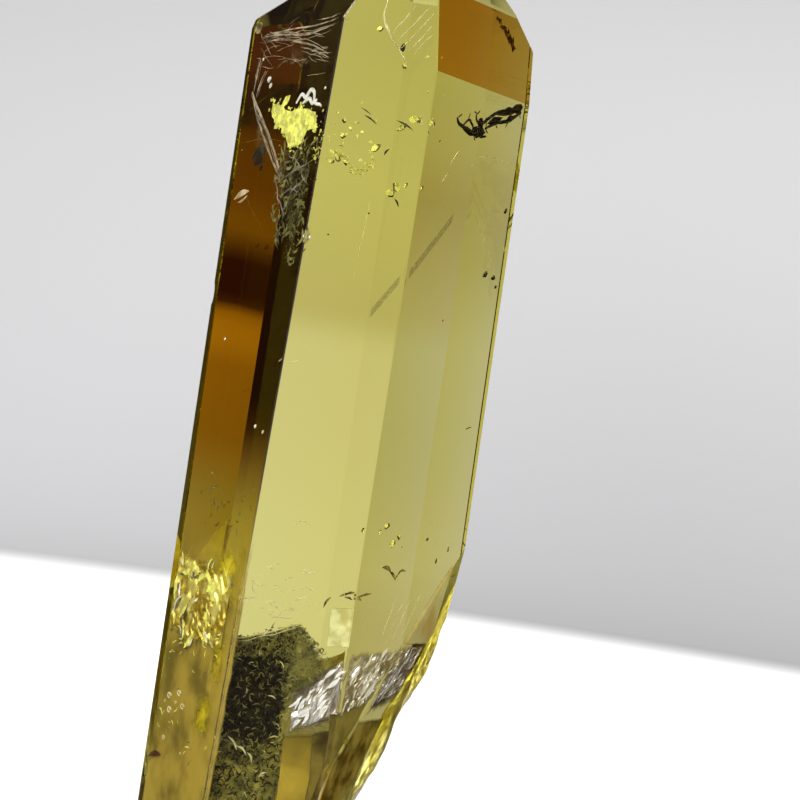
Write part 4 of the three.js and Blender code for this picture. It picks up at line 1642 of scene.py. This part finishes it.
def room_world(look):
    """A pale room: the camera sees its plain wall, and the crystal is lit by its sectors and cards."""
    world = bpy.data.worlds.new("Studio room")
    world.use_nodes = True
    world.node_tree.nodes.clear()
    graph = Graph(world.node_tree)
    parts = graph.parts(graph.node("TexCoord")["Generated"])
    turn = graph.maths("ARCTAN2", parts["X"], parts["Y"]) * math.degrees(1)
    behind = graph.maths("WRAP", turn, 270.0, -90.0)
    rise = graph.maths("ARCSINE", parts["Z"]) * math.degrees(1)
    colour = rgb((look.room_light, look.room_light, look.room_light * 1.04))
    step = (rise - LOW_RISE) / (HIGH_RISE - LOW_RISE)
    for sector in SECTORS:
        stops = [((at - LOW_RISE) / (HIGH_RISE - LOW_RISE), light) for at, light in sector.stops]
        wall = graph.node("ValToRGB", {"stops": stops}, {"Fac": step})["Color"]
        colour = graph.mix(graph.band(behind, sector.left, sector.right, SECTOR_SOFT), colour, wall)
    for card in CARDS:
        share = graph.band(behind, card.left, card.right, card.soft)
        share = share * graph.band(rise, card.low, card.high, card.soft)
        colour = graph.mix(share, colour, rgb(part * card.strength for part in card.colour))
    colour = graph.mix(graph.node("LightPath")["Is Camera Ray"], colour, rgb(look.backdrop_colour))
    lit = graph.node("Background", None, {"Color": colour})["Background"]
    graph.finish("OutputWorld", {"Surface": lit})
    return world


PAPER_FADE = 0.26  # how far up and across the wall the paper's painted shade changes
PAPER_TURN = (0.36, 0.46)  # where the painted shade turns the paper from white to grey, from the middle


def paper_material(look):
    """Matt studio paper: white under the crystal and greyed up the wall by painted shade, as if unevenly lit from the
    left.
    """
    material, graph = new_material("Studio paper")
    place = graph.place()
    parts = graph.parts(place)
    across, depth = parts["X"], parts["Y"]
    reach = graph.maths("SQRT", across * across + depth * depth)
    up = graph.rise(parts["Z"], 0.0, PAPER_FADE)
    left = graph.mix(up, rgb(look.wall_shade_low_left), rgb(look.wall_shade_high))
    right = graph.mix(up, rgb(look.wall_shade_low_right), rgb(look.wall_shade_high))
    wall = graph.mix(graph.rise(across, -PAPER_FADE / 2, PAPER_FADE / 2), left, right)
    grain = graph.node("TexNoise", None, {"Vector": place, "Scale": 900.0, "Detail": 2.0})["Fac"]
    graph.finish("OutputMaterial", {"Surface": graph.principled({
        "Base Color": graph.mix(graph.rise(reach, *PAPER_TURN), rgb(look.floor_colour), wall),
        "Roughness": 0.9,
        "Specular IOR Level": 0.1,
        "Normal": graph.bump(grain, 0.0001, 0.05),
    })})
    return material


FLOOR_START, FLOOR_REACH = 0.1, 0.46
FLOOR_GAP = 0.2 * MM  # the paper lies this far under the crystal
BEND = 0.3  # radius of the bend from the floor to the wall
WALL_TOP = 2.5


def sweep_mesh(profile, segments=128):
    """A round sheet of paper, turned from a profile of reaches and heights."""
    bm = bmesh.new()
    turns = [2 * math.pi * i / segments for i in range(segments)]
    rings = [
        [bm.verts.new((reach * math.cos(turn), reach * math.sin(turn), height - FLOOR_GAP)) for turn in turns]
        for reach, height in profile
    ]
    for low, high in zip(rings, rings[1:]):
        for i, j in pairs_round(range(segments)):
            bm.faces.new([low[j], low[i], high[i], high[j]])
    if profile[0][0] < FLOOR_REACH:
        bm.faces.new(rings[0])
    mesh = bpy.data.meshes.new("sweep")
    bm.to_mesh(mesh)
    bm.free()
    for polygon in mesh.polygons:
        polygon.use_smooth = True
    return mesh


def wall_profile(steps=16):
    """From the edge of the flat floor, round the bend and up the wall."""
    turns = [math.pi / 2 * i / steps for i in range(steps + 1)]
    bend = [(FLOOR_REACH + BEND * math.sin(turn), BEND * (1 - math.cos(turn))) for turn in turns]
    return [*bend, (FLOOR_REACH + BEND, WALL_TOP)]


BOUNCES = 32  # enough for light to cross the crystal and the films in it
GLOSSY_BOUNCES = 24
# The camera, in millimetres: right of the crystal's middle, in front of its front, and above its base.
CAMERA_RIGHT, CAMERA_AWAY, CAMERA_UP = 8.1, 340, 63.3
CAMERA_ROLL = 8.2  # degrees
LENS = 114.75  # focal length in millimetres, on a 36 mm wide sensor


class CITRINE_OT_studio(bpy.types.Operator):
    """Build the floor, the backdrop, the room's light and the camera"""

    bl_idname = "citrine.studio"
    bl_label = "Studio"

    def execute(self, context):
        scene = context.scene
        look = scene.citrine_studio
        paper = paper_material(look)
        floor = sweep_mesh([(FLOOR_START, 0.0), (FLOOR_REACH, 0.0)])
        floor.flip_normals()
        self.add_paper("floor", floor, paper)
        backdrop = self.add_paper("backdrop", sweep_mesh(wall_profile()), paper)
        backdrop.visible_diffuse = False
        backdrop.visible_shadow = False
        scene.world = room_world(look)
        scene.view_settings.view_transform = "Standard"
        scene.cycles.max_bounces = BOUNCES
        scene.cycles.transmission_bounces = BOUNCES
        scene.cycles.transparent_max_bounces = BOUNCES
        scene.cycles.glossy_bounces = GLOSSY_BOUNCES
        self.add_camera(scene)
        return {"FINISHED"}

    def add_paper(self, name, mesh, paper):
        """A sheet of the stage. Light that the crystal bends doesn't see it."""
        mesh.materials.append(paper)
        piece = bpy.data.objects.new(name, mesh)
        bpy.context.scene.collection.objects.link(piece)
        piece.visible_glossy = False
        piece.visible_transmission = False
        return piece

    def add_camera(self, scene):
        """A long lens straight in front of the front face, rolled so that the crystal leans right."""
        lens = bpy.data.cameras.new("camera")
        lens.sensor_width = 36.0
        lens.lens = LENS
        lens.clip_start = 0.01
        lens.clip_end = 20.0
        camera = bpy.data.objects.new("camera", lens)
        scene.collection.objects.link(camera)
        x, y, z = MIDDLE.x + CAMERA_RIGHT * MM, BASE_LOW.y - CAMERA_AWAY * MM, BASE_LOW.z + CAMERA_UP * MM
        camera.matrix_world = Matrix.Translation((x, y, z)) @ turned(90, "X") @ turned(CAMERA_ROLL)
        scene.camera = camera


class CITRINE_PT_panel(bpy.types.Panel):
    """Lists the crystal's builders"""

    bl_idname = "CITRINE_PT_panel"
    bl_label = "Citrine crystal point"
    bl_space_type = "VIEW_3D"
    bl_region_type = "UI"
    bl_category = "Citrine"

    def draw(self, context):
        for operator in BUILDERS:
            self.layout.operator(operator.bl_idname)


SETTINGS = {
    "citrine_crystal": CitrineCrystalSettings,
    "citrine_inclusions": CitrineInclusionSettings,
    "citrine_studio": CitrineStudioSettings,
}
BUILDERS = [
    CITRINE_OT_crystal,
    CITRINE_OT_upper_left,
    CITRINE_OT_sparkles,
    CITRINE_OT_cracks,
    CITRINE_OT_lower_left,
    CITRINE_OT_moss,
    CITRINE_OT_lower_front,
    CITRINE_OT_studio,
]
CLASSES = [*SETTINGS.values(), *BUILDERS, CITRINE_PT_panel]


def register():
    for cls in CLASSES:
        bpy.utils.register_class(cls)
    for name, settings in SETTINGS.items():
        setattr(bpy.types.Scene, name, PointerProperty(type=settings))


def unregister():
    for name in SETTINGS:
        delattr(bpy.types.Scene, name)
    for cls in reversed(CLASSES):
        bpy.utils.unregister_class(cls)


def main():
    """Builds everything."""
    register()
    for operator in BUILDERS:
        group, name = operator.bl_idname.split(".")
        getattr(getattr(bpy.ops, group), name)()


if __name__ == "__main__":
    main()
